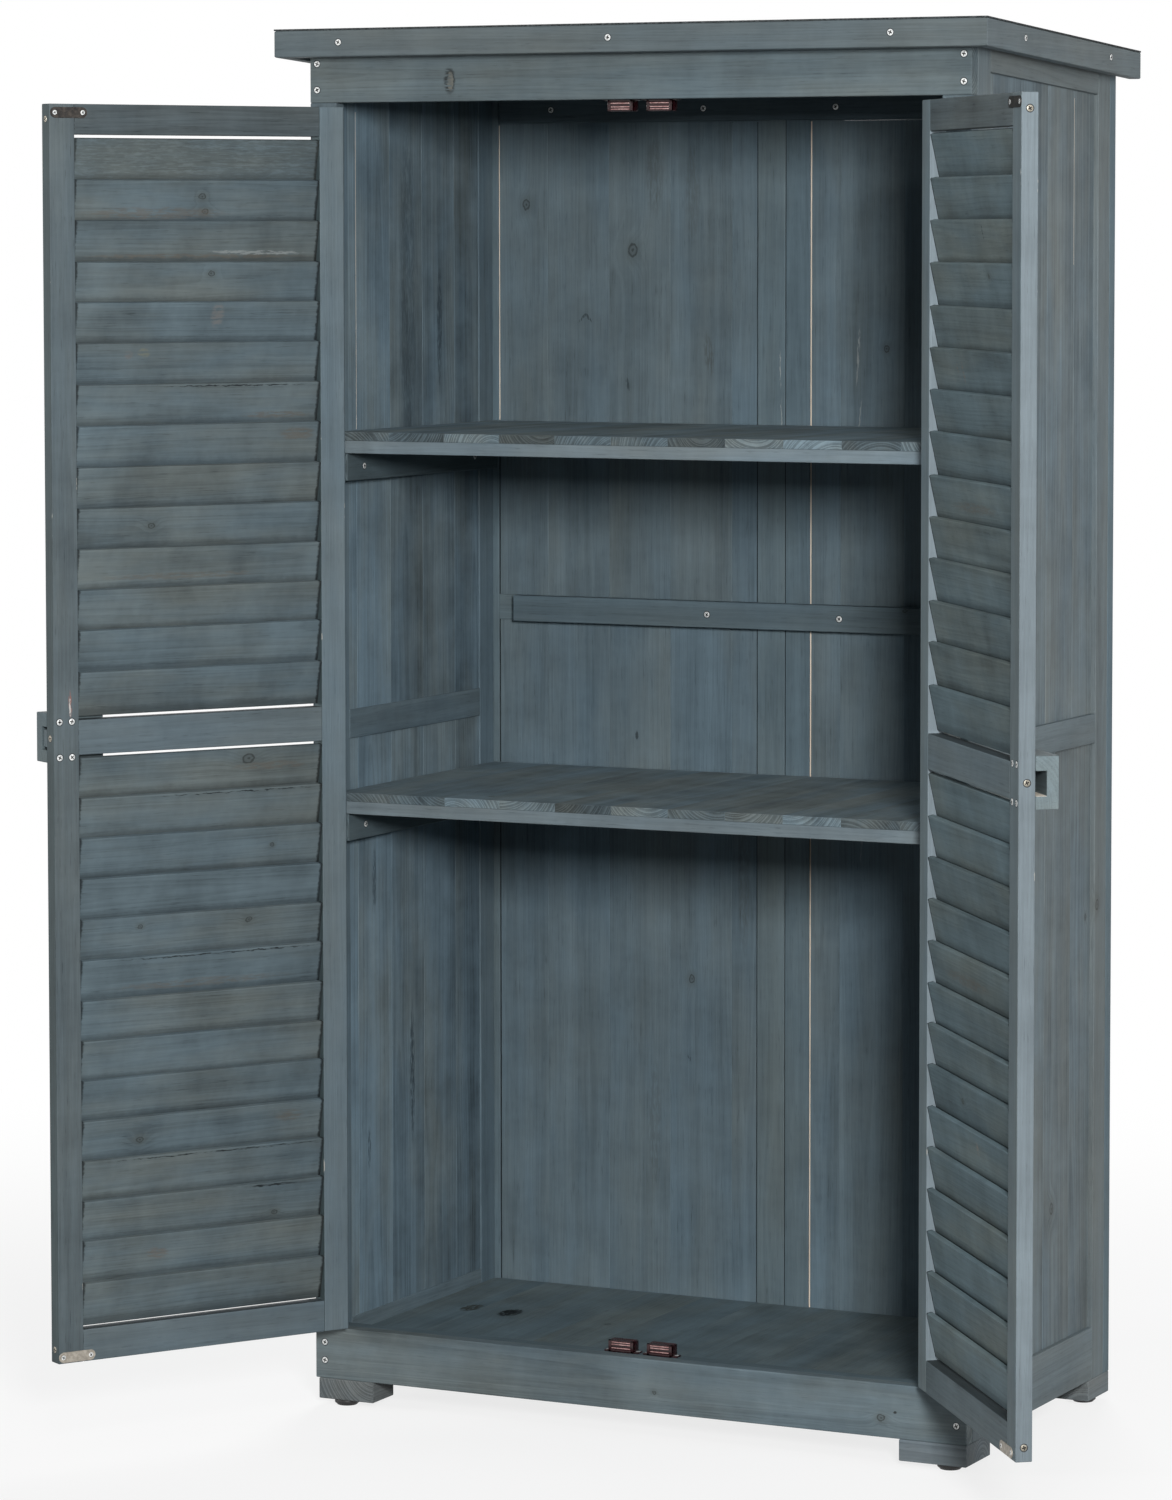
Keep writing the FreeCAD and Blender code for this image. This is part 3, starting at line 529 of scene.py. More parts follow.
header_mid = (HEADER_BOTTOM + deck_under(TIMBER)) / 2
header_outline = [(HEADER_BOTTOM - header_mid, -TIMBER / 2), (deck_under(0) - header_mid, -TIMBER / 2),
                  (deck_under(TIMBER) - header_mid, TIMBER / 2), (HEADER_BOTTOM - header_mid, TIMBER / 2)]
header_place = Matrix.Translation((0, TIMBER / 2, header_mid)) @ laid(AXES["x"], AXES["z"], AXES["y"])
lay_up("front_header", [shape_board((header_outline, 2 * HALF, header_place), 1.2, steps=3)],
       stained_wood("stained_header", srgb(90, 101, 105), rings=0.12, streaks=0.30, blotch=0.7,
                    sides=1.05, marked=True),
       "carcass", "header_board", timber=11, knots={0: [NO_KNOT]}, tones=((0.0, 0.1),),
       marks={0: [(-0.226, -0.011, 0.0072, 0.0150, 0.0, 1.1, srgb(44, 49, 50)),
                  (-0.2250, -0.012, 0.0040, 0.0110, 0.0, 1.2, srgb(100, 101, 96))]})


# Header batten and catch rail: two rough battens behind the front frame. The
# upper catches hang from the one, the lower ones stand on the other.
HEADER_BATTEN = (HEADER_BOTTOM + 1, 1532.0)
CATCH_RAIL = 18.0
CATCH_RAIL_TOP = BOTTOM_BOARD_TOP - 0.3
hidden_wood = stained_wood("stained_inner_battens", srgb(74, 86, 92), rings=0.10, streaks=0.2, roughness=0.7)
lay_up("header_inner_batten", [
    shape_board(stick(-INNER, INNER, TIMBER, TIMBER * 2, *HEADER_BATTEN, "x"), 1.0),
], hidden_wood, "carcass", "header_batten", timber=13)
lay_up("floor_catch_rail", [
    shape_board(stick(-INNER, INNER, TIMBER, TIMBER + CATCH_RAIL, FOOT_TOP, CATCH_RAIL_TOP, "x"), 1.0),
], stained_wood("stained_catch_rail", srgb(90, 103, 108), rings=0.08, streaks=0.16),
    "carcass", "catch_rail", timber=14)


# Side panels: each a frame of two stiles and three rails with boards let into
# it, five in a row with a small V at each joint. The upper field runs up to
# the roof's fall, the lower one stands in the bottom rail. Nailed together.
BACK_FACE = DEPTH - TIMBER
UNCUT_TOP = 1500.0
UNCUT_BOARD_TOP = 1450.0
STILE_FRONT = TIMBER + 37.0
STILE_BACK = BACK_FACE - 36.0
BOARD_THICK = 10.0
RECESS = 2.0
LET_IN = 5.0
V_CUT = 0.4
SIDE_JOINTS = (77.0, 159.0, 239.0, 320.0)
SIDE_MID_RAIL = (767.5, 801.0)
SIDE_BOTTOM_RAIL_TOP = 92.0
TOP_RAIL_DROP = 41.0


def v_board(u0, u1, t0, t1, first, last):
    """Outline of a board with a V-jointed edge on each side that has a neighbour."""
    wide, thick = (u1 - u0) / 2, (t1 - t0) / 2
    deep = thick - V_CUT
    left = [(-wide, thick), (-wide, -thick)] if first else [
        (V_CUT - wide, thick), (-wide, deep), (-wide, -deep), (V_CUT - wide, -thick)]
    right = [(wide, -thick), (wide, thick)] if last else [
        (wide - V_CUT, -thick), (wide, -deep), (wide, deep), (wide - V_CUT, thick)]
    return left + right


def board_field(edges, t0, t1, z0, z1, across, through, roofline=None):
    """A row of upright V-jointed boards. across and through are where u and t point."""
    field = []
    for n in range(len(edges) - 1):
        u0, u1 = edges[n], edges[n + 1]
        at = across * ((u0 + u1) / 2) + through * ((t0 + t1) / 2) + AXES["z"] * ((z0 + z1) / 2)
        place = Matrix.Translation(at) @ laid(AXES["z"], across, through)
        outline = v_board(u0, u1, t0, t1, n == 0, n == len(edges) - 2)
        field.append(shape_board((outline, z1 - z0, place), 0.3, roofline))
    return field


side_frame_wood = {
    -1: stained_wood("stained_left_side_frame", srgb(98, 113, 121), rings=0.10, streaks=0.22),
    1: stained_wood("stained_right_side_frame", srgb(103, 112, 115), rings=0.11, streaks=0.24)}
side_board_wood = {
    -1: stained_wood("stained_left_side_boards", srgb(102, 118, 127), rings=0.16, streaks=0.34,
                     tone=0.2, blotch=0.9, marked=True),
    1: stained_wood("stained_right_side_boards", srgb(104, 115, 120), rings=0.18, streaks=0.36,
                    tone=0.10, blotch=0.8)}
SIDE_TONES = {-1: ((0.9, 0.1), (0.9, -0.3), (0.1, 0.0), (-0.1, 0.0), (-0.9, 0.2),
                   (0.9, 0.1), (0.8, -0.3), (-0.8, 0.1), (-0.4, -0.2), (-1.0, 0.2)), 1: None}
SIDE_RAIL_TONES = {-1: ((0.0, 0.0), (-1.9, -0.2), (0.0, 0.0)), 1: None}
SIDE_KNOTTY = {-1: 0, 1: 0.15}
flame = srgb(44, 56, 64)
GRAIN_FLAMES = {-1: {1: [(0.1681, -0.0019, 0.0375, 0.0050, 0.0, 0.6, flame),
                         (-0.1451, -0.0166, 0.0247, 0.0045, 0.0, 0.6, flame)],
                     2: [(-0.072, 0.0093, 0.081, 0.0060, 0.0, 0.8, flame)],
                     7: [(0.1500, 0.0041, 0.2200, 0.0200, 0.0, 0.4, flame)],
                     8: [(0.1179, 0.0029, 0.0730, 0.0070, 0.0, 0.7, flame)]}, 1: None}
side_edges = [STILE_FRONT - LET_IN, *SIDE_JOINTS, STILE_BACK + LET_IN]
fall = math.atan(FALL)
down_the_fall = Vector((0, math.cos(fall), -math.sin(fall)))
square_to_fall = Vector((0, math.sin(fall), math.cos(fall)))
rail_y = (STILE_FRONT + STILE_BACK) / 2
top_rail_middle = (rail_y, deck_under(rail_y) - TOP_RAIL_DROP / 2)
top_rail_outline = oblong(TOP_RAIL_DROP - 0.2, TIMBER)


def under_top_rail(y):
    """How high the upper side boards reach, let into the top rail."""
    return deck_under(y) - TOP_RAIL_DROP + LET_IN


for side, panel in ((-1, "left"), (1, "right")):
    inside, outside = side * INNER, side * HALF
    lay_up(panel + "_side_frame_stiles", [
        shape_board(stick(inside, outside, y0, y1, FOOT_TOP, UNCUT_TOP, "z"), 1.0, deck_under)
        for y0, y1 in ((TIMBER, STILE_FRONT), (STILE_BACK, BACK_FACE))
    ], side_frame_wood[side], "carcass", f"side_{panel}_stiles", timber=20 + side)

    side_rails = [shape_board(stick(inside, outside, STILE_FRONT, STILE_BACK, low, high, "y"), 1.0)
                  for low, high in ((FOOT_TOP, SIDE_BOTTOM_RAIL_TOP), SIDE_MID_RAIL)]
    top_rail_place = Matrix.Translation(((inside + outside) / 2, *top_rail_middle)) @ laid(
        down_the_fall, square_to_fall, AXES["x"])
    side_rails.append(shape_board((top_rail_outline, STILE_BACK - STILE_FRONT, top_rail_place), 1.0))
    lay_up(panel + "_side_frame_rails", side_rails, side_frame_wood[side], "carcass",
           f"side_{panel}_rails", timber=24 + side, tones=SIDE_RAIL_TONES[side])

    through = (INNER + RECESS, INNER + RECESS + BOARD_THICK)
    outwards = AXES["x"] * side
    side_boards = board_field(side_edges, *through, SIDE_BOTTOM_RAIL_TOP - LET_IN,
                              SIDE_MID_RAIL[0] + LET_IN, AXES["y"], outwards)
    side_boards += board_field(side_edges, *through, SIDE_MID_RAIL[1] - LET_IN, UNCUT_BOARD_TOP,
                               AXES["y"], outwards, under_top_rail)
    lay_up(panel + "_side_v_boards", side_boards, side_board_wood[side], "carcass",
           f"side_{panel}_boards", timber=28 + side, tones=SIDE_TONES[side],
           knotty=SIDE_KNOTTY[side], marks=GRAIN_FLAMES[side])

# Bare tongues: the upper side boards have drawn apart a little, and a thread
# of unstained wood shows in three joints.
TONGUE = 0.9
TONGUE_OUT = 0.96
bare_fir = stained_wood("bare_sawn_fir", srgb(240, 228, 212), srgb(226, 202, 178), rings=0.1, streaks=0.2)
left_tongue, right_tongue = -INNER - RECESS - TONGUE_OUT, INNER + RECESS + BOARD_THICK - TONGUE_OUT
lay_up("bare_side_tongues", [
    shape_board(stick(x, x + TONGUE, y - half, y + half, low, high, "z"), 0)
    for x, y, half, low, high in (
        (left_tongue, SIDE_JOINTS[0], 0.7, 1124, 1488), (left_tongue, 378.0, 0.35, 1150, 1290),
        (right_tongue, SIDE_JOINTS[3], 0.45, 1313, 1500))
], bare_fir, "carcass", timber=30, knotty=0)


# Back: two framed panels that meet in the middle, with five boards in each
# field, glued flush. They have shrunk a little: bare tongues show beside the
# left corner stile and the right middle stile, and daylight under the top rail.
BACK_IN = BACK_FACE + RECESS
BACK_CORNER_EDGE = 379.5
BACK_MIDDLE_EDGE = {-1: 36.0, 1: 31.4}
BACK_JOINTS = (70.0, 151.0, 232.0, 314.0)
BACK_BOTTOM_RAIL_TOP = 75.0
BACK_MID_RAIL = (882.5, 913.0)
BACK_TOP_RAIL_BOTTOM = 1480.2
SHRINK_GAP = 1.5
MEETING_GAP = 0.35
CORNER_SHRINK = SHRINK_GAP * 0.7
BACK_SHRINK = {-1: (SHRINK_GAP, CORNER_SHRINK, (0, 0, 0, 0, 0)),
               1: (SHRINK_GAP, 0, (-0.3, 0.36, 0.32, -0.3, -0.3))}
pale_scuff, dark_stain, brown_stain = srgb(150, 156, 156), srgb(34, 40, 43), srgb(72, 76, 74)
back_frame_wood = stained_wood("stained_back_frames", srgb(95, 110, 117), rings=0.07, streaks=0.18,
                               marked=True)
back_board_wood = stained_wood("stained_back_boards", srgb(96, 111, 119), rings=0.08, streaks=0.22,
                               tone=0.035, blotch=0.6, sides=1.25, marked=True)
BACK_KNOTS = {
    -1: {9: [(0.1887, -0.0039, 0.0044)], 7: [(0.1343, 0.0091, 0.0056)], 1: [(-0.02, 0.012, 0.0035)]},
    1: {6: [(0.02, 0.018, 0.003)]},
}
BACK_MARKS = {
    -1: {8: [(0.0535, -0.0137, 0.0055, 0.0024, 0.8, 0.6, dark_stain),
             (0.0535, -0.0057, 0.0055, 0.0024, -0.8, 0.6, dark_stain)],
         7: [(-0.025, 0.0157, 0.009, 0.0018, 0.15, 0.6, dark_stain),
             (0.225, -0.02, 0.05, 0.012, 0.0, 0.35, brown_stain)],
         6: [(0.011, -0.010, 0.026, 0.006, 0.1, 0.5, brown_stain),
             (0.20, 0.012, 0.06, 0.010, 0.0, 0.3, brown_stain)],
         2: [(0.27, 0.004, 0.006, 0.002, 0.0, 0.8, dark_stain),
             (-0.2, -0.02, 0.08, 0.009, 0.0, 0.3, brown_stain)],
         1: [(-0.115, 0.015, 0.005, 0.002, 0.2, 0.7, dark_stain)],
         0: [(0.12, 0.0, 0.12, 0.008, 0.0, 0.3, brown_stain)]},
    1: {6: [(0.011, -0.0185, 0.034, 0.0016, 0.06, 0.6, pale_scuff),
            (-0.06, -0.016, 0.02, 0.001, 0.1, 0.5, pale_scuff)],
        1: [(0.16, -0.012, 0.03, 0.0014, 0.05, 0.45, pale_scuff)]},
}
BACK_STILE_MARKS = {-1: {0: [(0.4223, 0.0116, 0.022, 0.0007, 0.0, 0.9, pale_scuff),
                             (0.36, 0.013, 0.03, 0.0006, 0.0, 0.7, pale_scuff)]}, 1: None}
back_rail_mid = (BACK_TOP_RAIL_BOTTOM + deck_under(BACK_FACE)) / 2
back_rail_outline = [(BACK_TOP_RAIL_BOTTOM - back_rail_mid, -TIMBER / 2),
                     (deck_under(BACK_FACE) - back_rail_mid, -TIMBER / 2),
                     (deck_under(DEPTH) - back_rail_mid, TIMBER / 2),
                     (BACK_TOP_RAIL_BOTTOM - back_rail_mid, TIMBER / 2)]
back_lower = (BACK_BOTTOM_RAIL_TOP - LET_IN, BACK_MID_RAIL[0] + LET_IN)
for side, panel in ((-1, "left"), (1, "right")):
    inner, outer = BACK_MIDDLE_EDGE[side], BACK_CORNER_EDGE
    lay_up(panel + "_back_frame_stiles", [
        shape_board(stick(side * x0, side * x1, BACK_FACE, DEPTH, FOOT_TOP, UNCUT_TOP, "z"), 0.9, deck_under)
        for x0, x1 in ((MEETING_GAP, inner), (outer, HALF))
    ], back_frame_wood, "carcass", f"back_{panel}_stiles", timber=32 + side, knotty=0,
        marks=BACK_STILE_MARKS[side])

    rail_middle = Matrix.Translation((side * (inner + outer) / 2, BACK_FACE + TIMBER / 2, back_rail_mid))
    back_rail_place = rail_middle @ laid(AXES["x"], AXES["z"], AXES["y"])
    lay_up(panel + "_back_frame_rails", [
        shape_board(stick(side * inner, side * outer, BACK_FACE, DEPTH, low, high, "x"), 0.9)
        for low, high in ((FOOT_TOP, BACK_BOTTOM_RAIL_TOP), BACK_MID_RAIL)
    ] + [shape_board((back_rail_outline, outer - inner, back_rail_place), 0.9)],
        back_frame_wood, "carcass", f"back_{panel}_rails", timber=36 + side, knotty=0)

    near_gap, far_gap, top_gaps = BACK_SHRINK[side]
    through = (BACK_IN, BACK_IN + BOARD_THICK)
    edges = [inner + near_gap, *BACK_JOINTS, outer - far_gap]
    outwards = AXES["x"] * side
    back_boards = board_field(edges, *through, *back_lower, outwards, AXES["y"])
    for n, top_gap in enumerate(top_gaps):
        row = board_field(edges, *through, BACK_MID_RAIL[1] - LET_IN, BACK_TOP_RAIL_BOTTOM - top_gap,
                          outwards, AXES["y"])
        back_boards.append(row[n])
    lay_up(panel + "_back_v_boards", back_boards, back_board_wood, "carcass", f"back_{panel}_boards",
           timber=44 + side, knots=BACK_KNOTS[side], marks=BACK_MARKS[side], knotty=0)

# Tongues and dark joints: the tongue that the shrunken boards have left bare,
# and near-black strips that fill the two tight joints beside it.
upper_field = (BACK_MID_RAIL[1], BACK_TOP_RAIL_BOTTOM - 1)
lower_field = (BACK_BOTTOM_RAIL_TOP, BACK_MID_RAIL[0])


def joint_strip(x0, x1, low, high, y0=BACK_IN + 0.1):
    """A thin upright strip that fills a joint of the back."""
    return shape_board(stick(x0, x1, y0, BACK_IN + 7, low, high, "z"), 0)


right_inner, left_outer, left_inner = BACK_MIDDLE_EDGE[1], -BACK_CORNER_EDGE, -BACK_MIDDLE_EDGE[-1]
TONGUE_FOOT = 1124.0
MEETING_TOP = 1530.0
lay_up("bare_back_tongues", [
    joint_strip(right_inner, right_inner + SHRINK_GAP, *upper_field),
    joint_strip(right_inner, right_inner + SHRINK_GAP, *lower_field),
    joint_strip(left_outer, left_outer + CORNER_SHRINK, TONGUE_FOOT, BACK_TOP_RAIL_BOTTOM - 2.2),
], bare_fir, "carcass", timber=46, knotty=0)
near_black_joint_fill = stained_wood("near_black_joint_strips", srgb(11, 14, 16), rings=0.0, streaks=0.3)
lay_up("stained_back_joints", [
    joint_strip(left_inner - SHRINK_GAP, left_inner, *upper_field),
    joint_strip(left_inner - SHRINK_GAP, left_inner, *lower_field),
    joint_strip(left_outer, left_outer + CORNER_SHRINK, BACK_BOTTOM_RAIL_TOP, TONGUE_FOOT - 2),
    joint_strip(-MEETING_GAP, MEETING_GAP, FOOT_TOP + 1, MEETING_TOP, BACK_FACE + 0.7),
], near_black_joint_fill, "carcass", timber=47, knotty=0)


# Back battens: two fir battens screwed across both back panels from inside,
# one right under the roof and one at half height. They hold the panels flush.
BATTEN = 15.0
batten_wood = stained_wood("stained_back_battens", srgb(88, 102, 109), rings=0.09, streaks=0.18)
# The top batten's tone of -2.4 darkens it as painted shade under the header.
BACK_BATTENS = {"top": (370, 1481, 1511, -2.4), "mid": (353, 882, 913, 0.0)}
for batten_name, (reach, low, high, painted_shade_tone) in BACK_BATTENS.items():
    lay_up(f"inner_{batten_name}_back_batten", [
        shape_board(stick(-reach, reach, BACK_FACE - BATTEN, BACK_FACE, low, high, "x"), 1.0),
    ], batten_wood, "carcass", f"back_{batten_name}_batten", timber=batten_name,
           tones=((painted_shade_tone, -0.3),))


# Floor: eleven boards laid front to back on three bearers, with two black
# knots at half depth on the left. The stain is darker and thicker here.
FLOOR_TOP = 75.0
FLOOR_FRONT = TIMBER + CATCH_RAIL
PLANK = 10.0
PLANKS = 11


def plank_row(count, half, y0, y1, z0, z1, ease):
    """Boards side by side, with their grain from front to back."""
    pitch = 2 * half / count
    return [shape_board(stick(-half + n * pitch, -half + (n + 1) * pitch, y0, y1, z0, z1, "y"), ease)
            for n in range(count)]


floor_wood = stained_wood("stained_floor_boards", srgb(97, 111, 116), rings=0.07, streaks=0.2,
                          tone=0.05, blotch=0.8, marked=True)
lay_up("floor_planks", plank_row(PLANKS, INNER, FLOOR_FRONT, BACK_FACE, FLOOR_TOP - PLANK, FLOOR_TOP, 0.25),
       floor_wood, "carcass", "floor_boards", timber=51, knotty=0.05,
       knots={0: [NO_KNOT], 1: [(0.0077, 0.0085, 0.0115)]},
       marks={0: [(0.0139, 0.0243, 0.021, 0.0110, 0.0, 1.8, srgb(60, 63, 60))],
              1: [(0.0077, 0.0085, 0.022, 0.013, 0.0, 1.6, dark_stain),
                  (0.0077, 0.006, 0.014, 0.008, 0.0, 2.8, srgb(9, 11, 12))]})
lay_up("floor_cross_bearers", [
    shape_board(stick(-INNER, INNER, y, y + TIMBER, FOOT_TOP, FLOOR_TOP - PLANK, "x"), 1.0)
    for y in (FLOOR_FRONT, (FLOOR_FRONT + BACK_FACE - TIMBER) / 2, BACK_FACE - TIMBER)
], hidden_wood, "carcass", "floor_bearers", timber=52)


# Shelves: eleven short boards each, glued edge to edge and nailed on three
# cross battens. Their saw-cut ends show at the front, each with its own
# rings, above the planed and paler front batten.
SHELF_TOPS = {"upper": 1123.0, "lower": 709.0}
SHELF_HALF = INNER - 1.0
SHELF_FRONT = 20.0
SHELF_BACK = 416.0
SHELF_BATTEN = 14.5
SHELF_BATTEN_WIDTH = 35.0
SHELF_TONES = {
    "upper": ((-0.3, 0.5), (-0.5, 0.7), (0.9, -0.3), (-1.1, 0.9), (-0.1, 0.2), (-0.1, 0.1),
              (-1.1, 0.6), (0.8, -0.4), (0.9, -0.4), (-0.9, 0.8), (0.5, 0.0)),
    "lower": ((-0.3, 0.4), (-0.2, 0.5), (0.9, -0.3), (0.5, -0.1), (-1.1, 1.2), (0.5, 0.2),
              (-0.6, 0.9), (-0.3, 0.6), (0.7, 0.0), (-0.9, 0.5), (-0.8, 0.4))}
shelf_wood = stained_wood("stained_shelf_boards", srgb(110, 124, 130), rings=0.085, streaks=0.34,
                          tone=0.06, blotch=1.1, ends=0.66, end_rings=0.60, end_tone=0.33,
                          ring_width=0.0035)
shelf_batten_wood = stained_wood("stained_shelf_battens", srgb(113, 127, 135), rings=0.05, streaks=0.16)
last_batten = SHELF_BACK - SHELF_BATTEN_WIDTH
for shelf, shelf_top in SHELF_TOPS.items():
    shelf_under = shelf_top - PLANK
    shelf_planks = plank_row(PLANKS, SHELF_HALF, SHELF_FRONT, SHELF_BACK, shelf_under, shelf_top, 0.5)
    lay_up(shelf + "_shelf_planks", shelf_planks, shelf_wood, "carcass", shelf + "_shelf_boards",
           timber=shelf, tones=SHELF_TONES[shelf], knotty=0.1)
    lay_up(shelf + "_shelf_cross_battens", [
        shape_board(stick(-SHELF_HALF, SHELF_HALF, y, y + SHELF_BATTEN_WIDTH, shelf_under - SHELF_BATTEN,
                          shelf_under, "x"), 1.0)
        for y in (SHELF_FRONT, (SHELF_FRONT + last_batten) / 2, last_batten)
    ], shelf_batten_wood, "carcass", shelf + "_shelf_battens", timber=shelf + "b", knotty=0)


# Shelf supports: a short batten on each side under each shelf, held to the
# side panel's stiles with two screws. The shelf only rests on them.
SUPPORT = (24.0, 400.0)
SUPPORT_HIGH = 32.0
support_boards = []
for shelf_top in SHELF_TOPS.values():
    rest = shelf_top - PLANK - SHELF_BATTEN
    for side in (-1, 1):
        support = stick(side * (INNER - BATTEN), side * INNER, *SUPPORT, rest - SUPPORT_HIGH, rest, "y")
        support_boards.append(shape_board(support, 1.0))
lay_up("side_shelf_supports", support_boards,
       stained_wood("stained_shelf_supports", srgb(79, 91, 96), rings=0.09, streaks=0.16),
       "carcass", "shelf_supports", timber=57)


# Roof boards: five thin boards across the roof, nailed down to the header and
# the back. They are stained below, where they show from inside.
ROOF_HALF = HALF + OVERHANG
FASCIA = 15.0
DECK_BOARDS = 5
deck_pitch = (DEPTH + OVERHANG - FASCIA) / DECK_BOARDS
deck_boards = []
for n in range(DECK_BOARDS):
    y0 = FASCIA - OVERHANG + n * deck_pitch
    y1 = y0 + deck_pitch
    mid_y, mid_z = (y0 + y1) / 2, roof_top((y0 + y1) / 2) - FELT - DECK / 2
    deck_outline = [(y - mid_y, roof_top(y) - FELT - drop - mid_z)
                    for y, drop in ((y0, DECK), (y1, DECK), (y1, 0), (y0, 0))]
    deck_place = Matrix.Translation((0, mid_y, mid_z))
    deck_boards.append(shape_board((deck_outline, 2 * (ROOF_HALF - FASCIA), deck_place), 0.6))
lay_up("roof_deck_boards", deck_boards,
       stained_wood("stained_roof_boards", srgb(80, 92, 98), rings=0.11, streaks=0.2, roughness=0.72),
       "carcass", "roof_boards", timber=61)


# Roofing felt: one sheet of bitumen felt with fine slate grit, nailed over
# the roof boards and cut flush with the fascia. Only its thin dark edge shows
# from the front. The sheet has cockled a little over the board joints.
FELT_CELLS = (58, 31)
DEEPEST_COCKLE = 0.9
RIM_DROP = 0.25


def grit_felt():
    """Bitumen felt with slate grit, a little soiled and dusty."""
    material, tree, shader = new_finish("slate_grit_felt")
    place = knit(tree, "TexCoord", out=3)
    grains = knit(tree, "TexVoronoi", place, None, 620.0, out=1)
    grain_tone = knit(tree, "SeparateXYZ", grains)
    soil = noise(tree, place, (5.0, 9.0, 5.0), 4.0)
    dust = noise(tree, place, (40.0, 40.0, 40.0), 3.0)
    base = tint(tree, rise(tree, grain_tone, 0.1, 0.9), srgb(34, 38, 40), srgb(78, 83, 85))
    base = tint(tree, rise(tree, soil, 0.35, 0.8, 0.0, 0.45), base, srgb(58, 58, 54))
    base = tint(tree, rise(tree, dust, 0.55, 0.8, 0.0, 0.3), base, srgb(88, 90, 88))
    tree.links.new(base, shader.inputs["Base Color"])
    shader.inputs["Roughness"].default_value = 0.93
    shader.inputs["Specular IOR Level"].default_value = 0.2
    relief(tree, shader, calc(tree, "ADD", grain_tone, calc(tree, "MULTIPLY", dust, 0.6)), 0.6, 0.0009)
    return material


def felt_sheet():
    """A grid with a slightly cockled top, an eased rim and a flat underside."""
    columns, rows = FELT_CELLS
    cockle = random.Random(62)
    waves = [(cockle.uniform(4, 11), cockle.uniform(2, 6), cockle.uniform(0, 6), cockle.uniform(0.05, 0.12))
             for _ in range(6)]
    points, faces = [], []
    for layer in (0, 1):
        for j in range(rows + 1):
            for i in range(columns + 1):
                x = -ROOF_HALF + 2 * ROOF_HALF * i / columns
                y = -OVERHANG + (DEPTH + OVERHANG) * j / rows
                rim = min(i, columns - i, j, rows - j)
                sink = sum(h * (1 + math.sin(a * x / ROOF_HALF + b * y / 200 + c)) for a, b, c, h in waves)
                drop = (min(sink, DEEPEST_COCKLE) if rim > 0 else RIM_DROP) if layer == 0 else FELT
                points.append((x, y, roof_top(y) - drop))
    across = columns + 1
    under = across * (rows + 1)
    for j in range(rows):
        for i in range(columns):
            a = j * across + i
            faces.append((a, a + 1, a + across + 1, a + across))
            faces.append((under + a, under + a + across, under + a + across + 1, under + a + 1))
    rim = [i for i in range(columns)] + [columns + j * across for j in range(rows)]
    rim += [rows * across + i for i in range(columns, 0, -1)] + [j * across for j in range(rows, 0, -1)]
    for a, b in zip(rim, rim[1:] + rim[:1]):
        faces.append((b, a, under + a, under + b))
    return points, faces


cast("grit_felt_sheet", [felt_sheet()], grit_felt(), "carcass", "roof_felt")


# Fascia: three planed boards round the roof's edge, mitred at the front
# corners and screwed to the roof boards, the front one with three screws and
# each side one with two. Their edges are slightly rounded.
FASCIA_HIDE = 32.0
fascia_wood = stained_wood("stained_front_fascia", srgb(92, 102, 106), rings=0.08, streaks=0.2, sides=1.05)


def mitred_fascia(corners, grain_axis, across_axis):
    """A board with a vertical section at each plan corner, following the roof's fall."""
    bm = bmesh.new()
    low = [bm.verts.new((x, y, roof_top(y) - FASCIA_HIDE)) for x, y in corners]
    high = [bm.verts.new((x, y, roof_top(y) - FELT)) for x, y in corners]
    bm.faces.new(low[::-1])
    bm.faces.new(high)
    for i in range(4):
        j = (i + 1) % 4
        bm.faces.new((low[i], low[j], high[j], high[i]))
    bmesh.ops.recalc_face_normals(bm, faces=bm.faces)
    sharp = [e for e in bm.edges if e.calc_face_angle(0.0) > SHARP_TURN]
    made = bmesh.ops.bevel(bm, geom=sharp, offset=1.6, offset_type="OFFSET", segments=3, profile=0.5,
                           affect="EDGES", clamp_overlap=True)
    arris = set(made["faces"])
    bm.verts.index_update()
    middle = sum((v.co for v in bm.verts), Vector()) / len(bm.verts)
    place = Matrix.Translation(middle) @ laid(grain_axis, AXES["z"], across_axis)
    back = place.inverted()
    board = {"co": [back @ v.co for v in bm.verts],
             "faces": [[v.index for v in f.verts] for f in bm.faces],
             "cuts": [(0.0, 1.0 if abs(f.normal.z) > FACES_SO else 0.0, 1.0 if f in arris else 0.0)
                      for f in bm.faces],
             "place": place}
    bm.free()
    return board


front_y = -OVERHANG
inner_y = FASCIA - OVERHANG
mitre_x = ROOF_HALF - FASCIA
front_corners = [(-ROOF_HALF, front_y), (ROOF_HALF, front_y), (mitre_x, inner_y), (-mitre_x, inner_y)]
lay_up("mitred_front_fascia", [mitred_fascia(front_corners, AXES["x"], AXES["y"])], fascia_wood,
       "carcass", "fascia_front", timber=71, knots={0: [NO_KNOT]}, tones=((0.0, 0.1),))
for side, fascia_name in ((-1, "left"), (1, "right")):
    # The side boards are stained paler than the front one, as painted light on the roof's sides.
    lit_side_fascia_wood = stained_wood(f"stained_{fascia_name}_fascia", srgb(105, 115, 119), rings=0.08,
                                    streaks=0.24)
    outer_x, inner_x = side * ROOF_HALF, side * mitre_x
    side_corners = [(outer_x, front_y), (outer_x, DEPTH), (inner_x, DEPTH), (inner_x, inner_y)]
    lay_up(f"mitred_{fascia_name}_fascia", [mitred_fascia(side_corners, AXES["y"], AXES["x"])],
           lit_side_fascia_wood, "carcass", f"fascia_{fascia_name}", timber=73 + side, tones=((0.0, 0.0),))


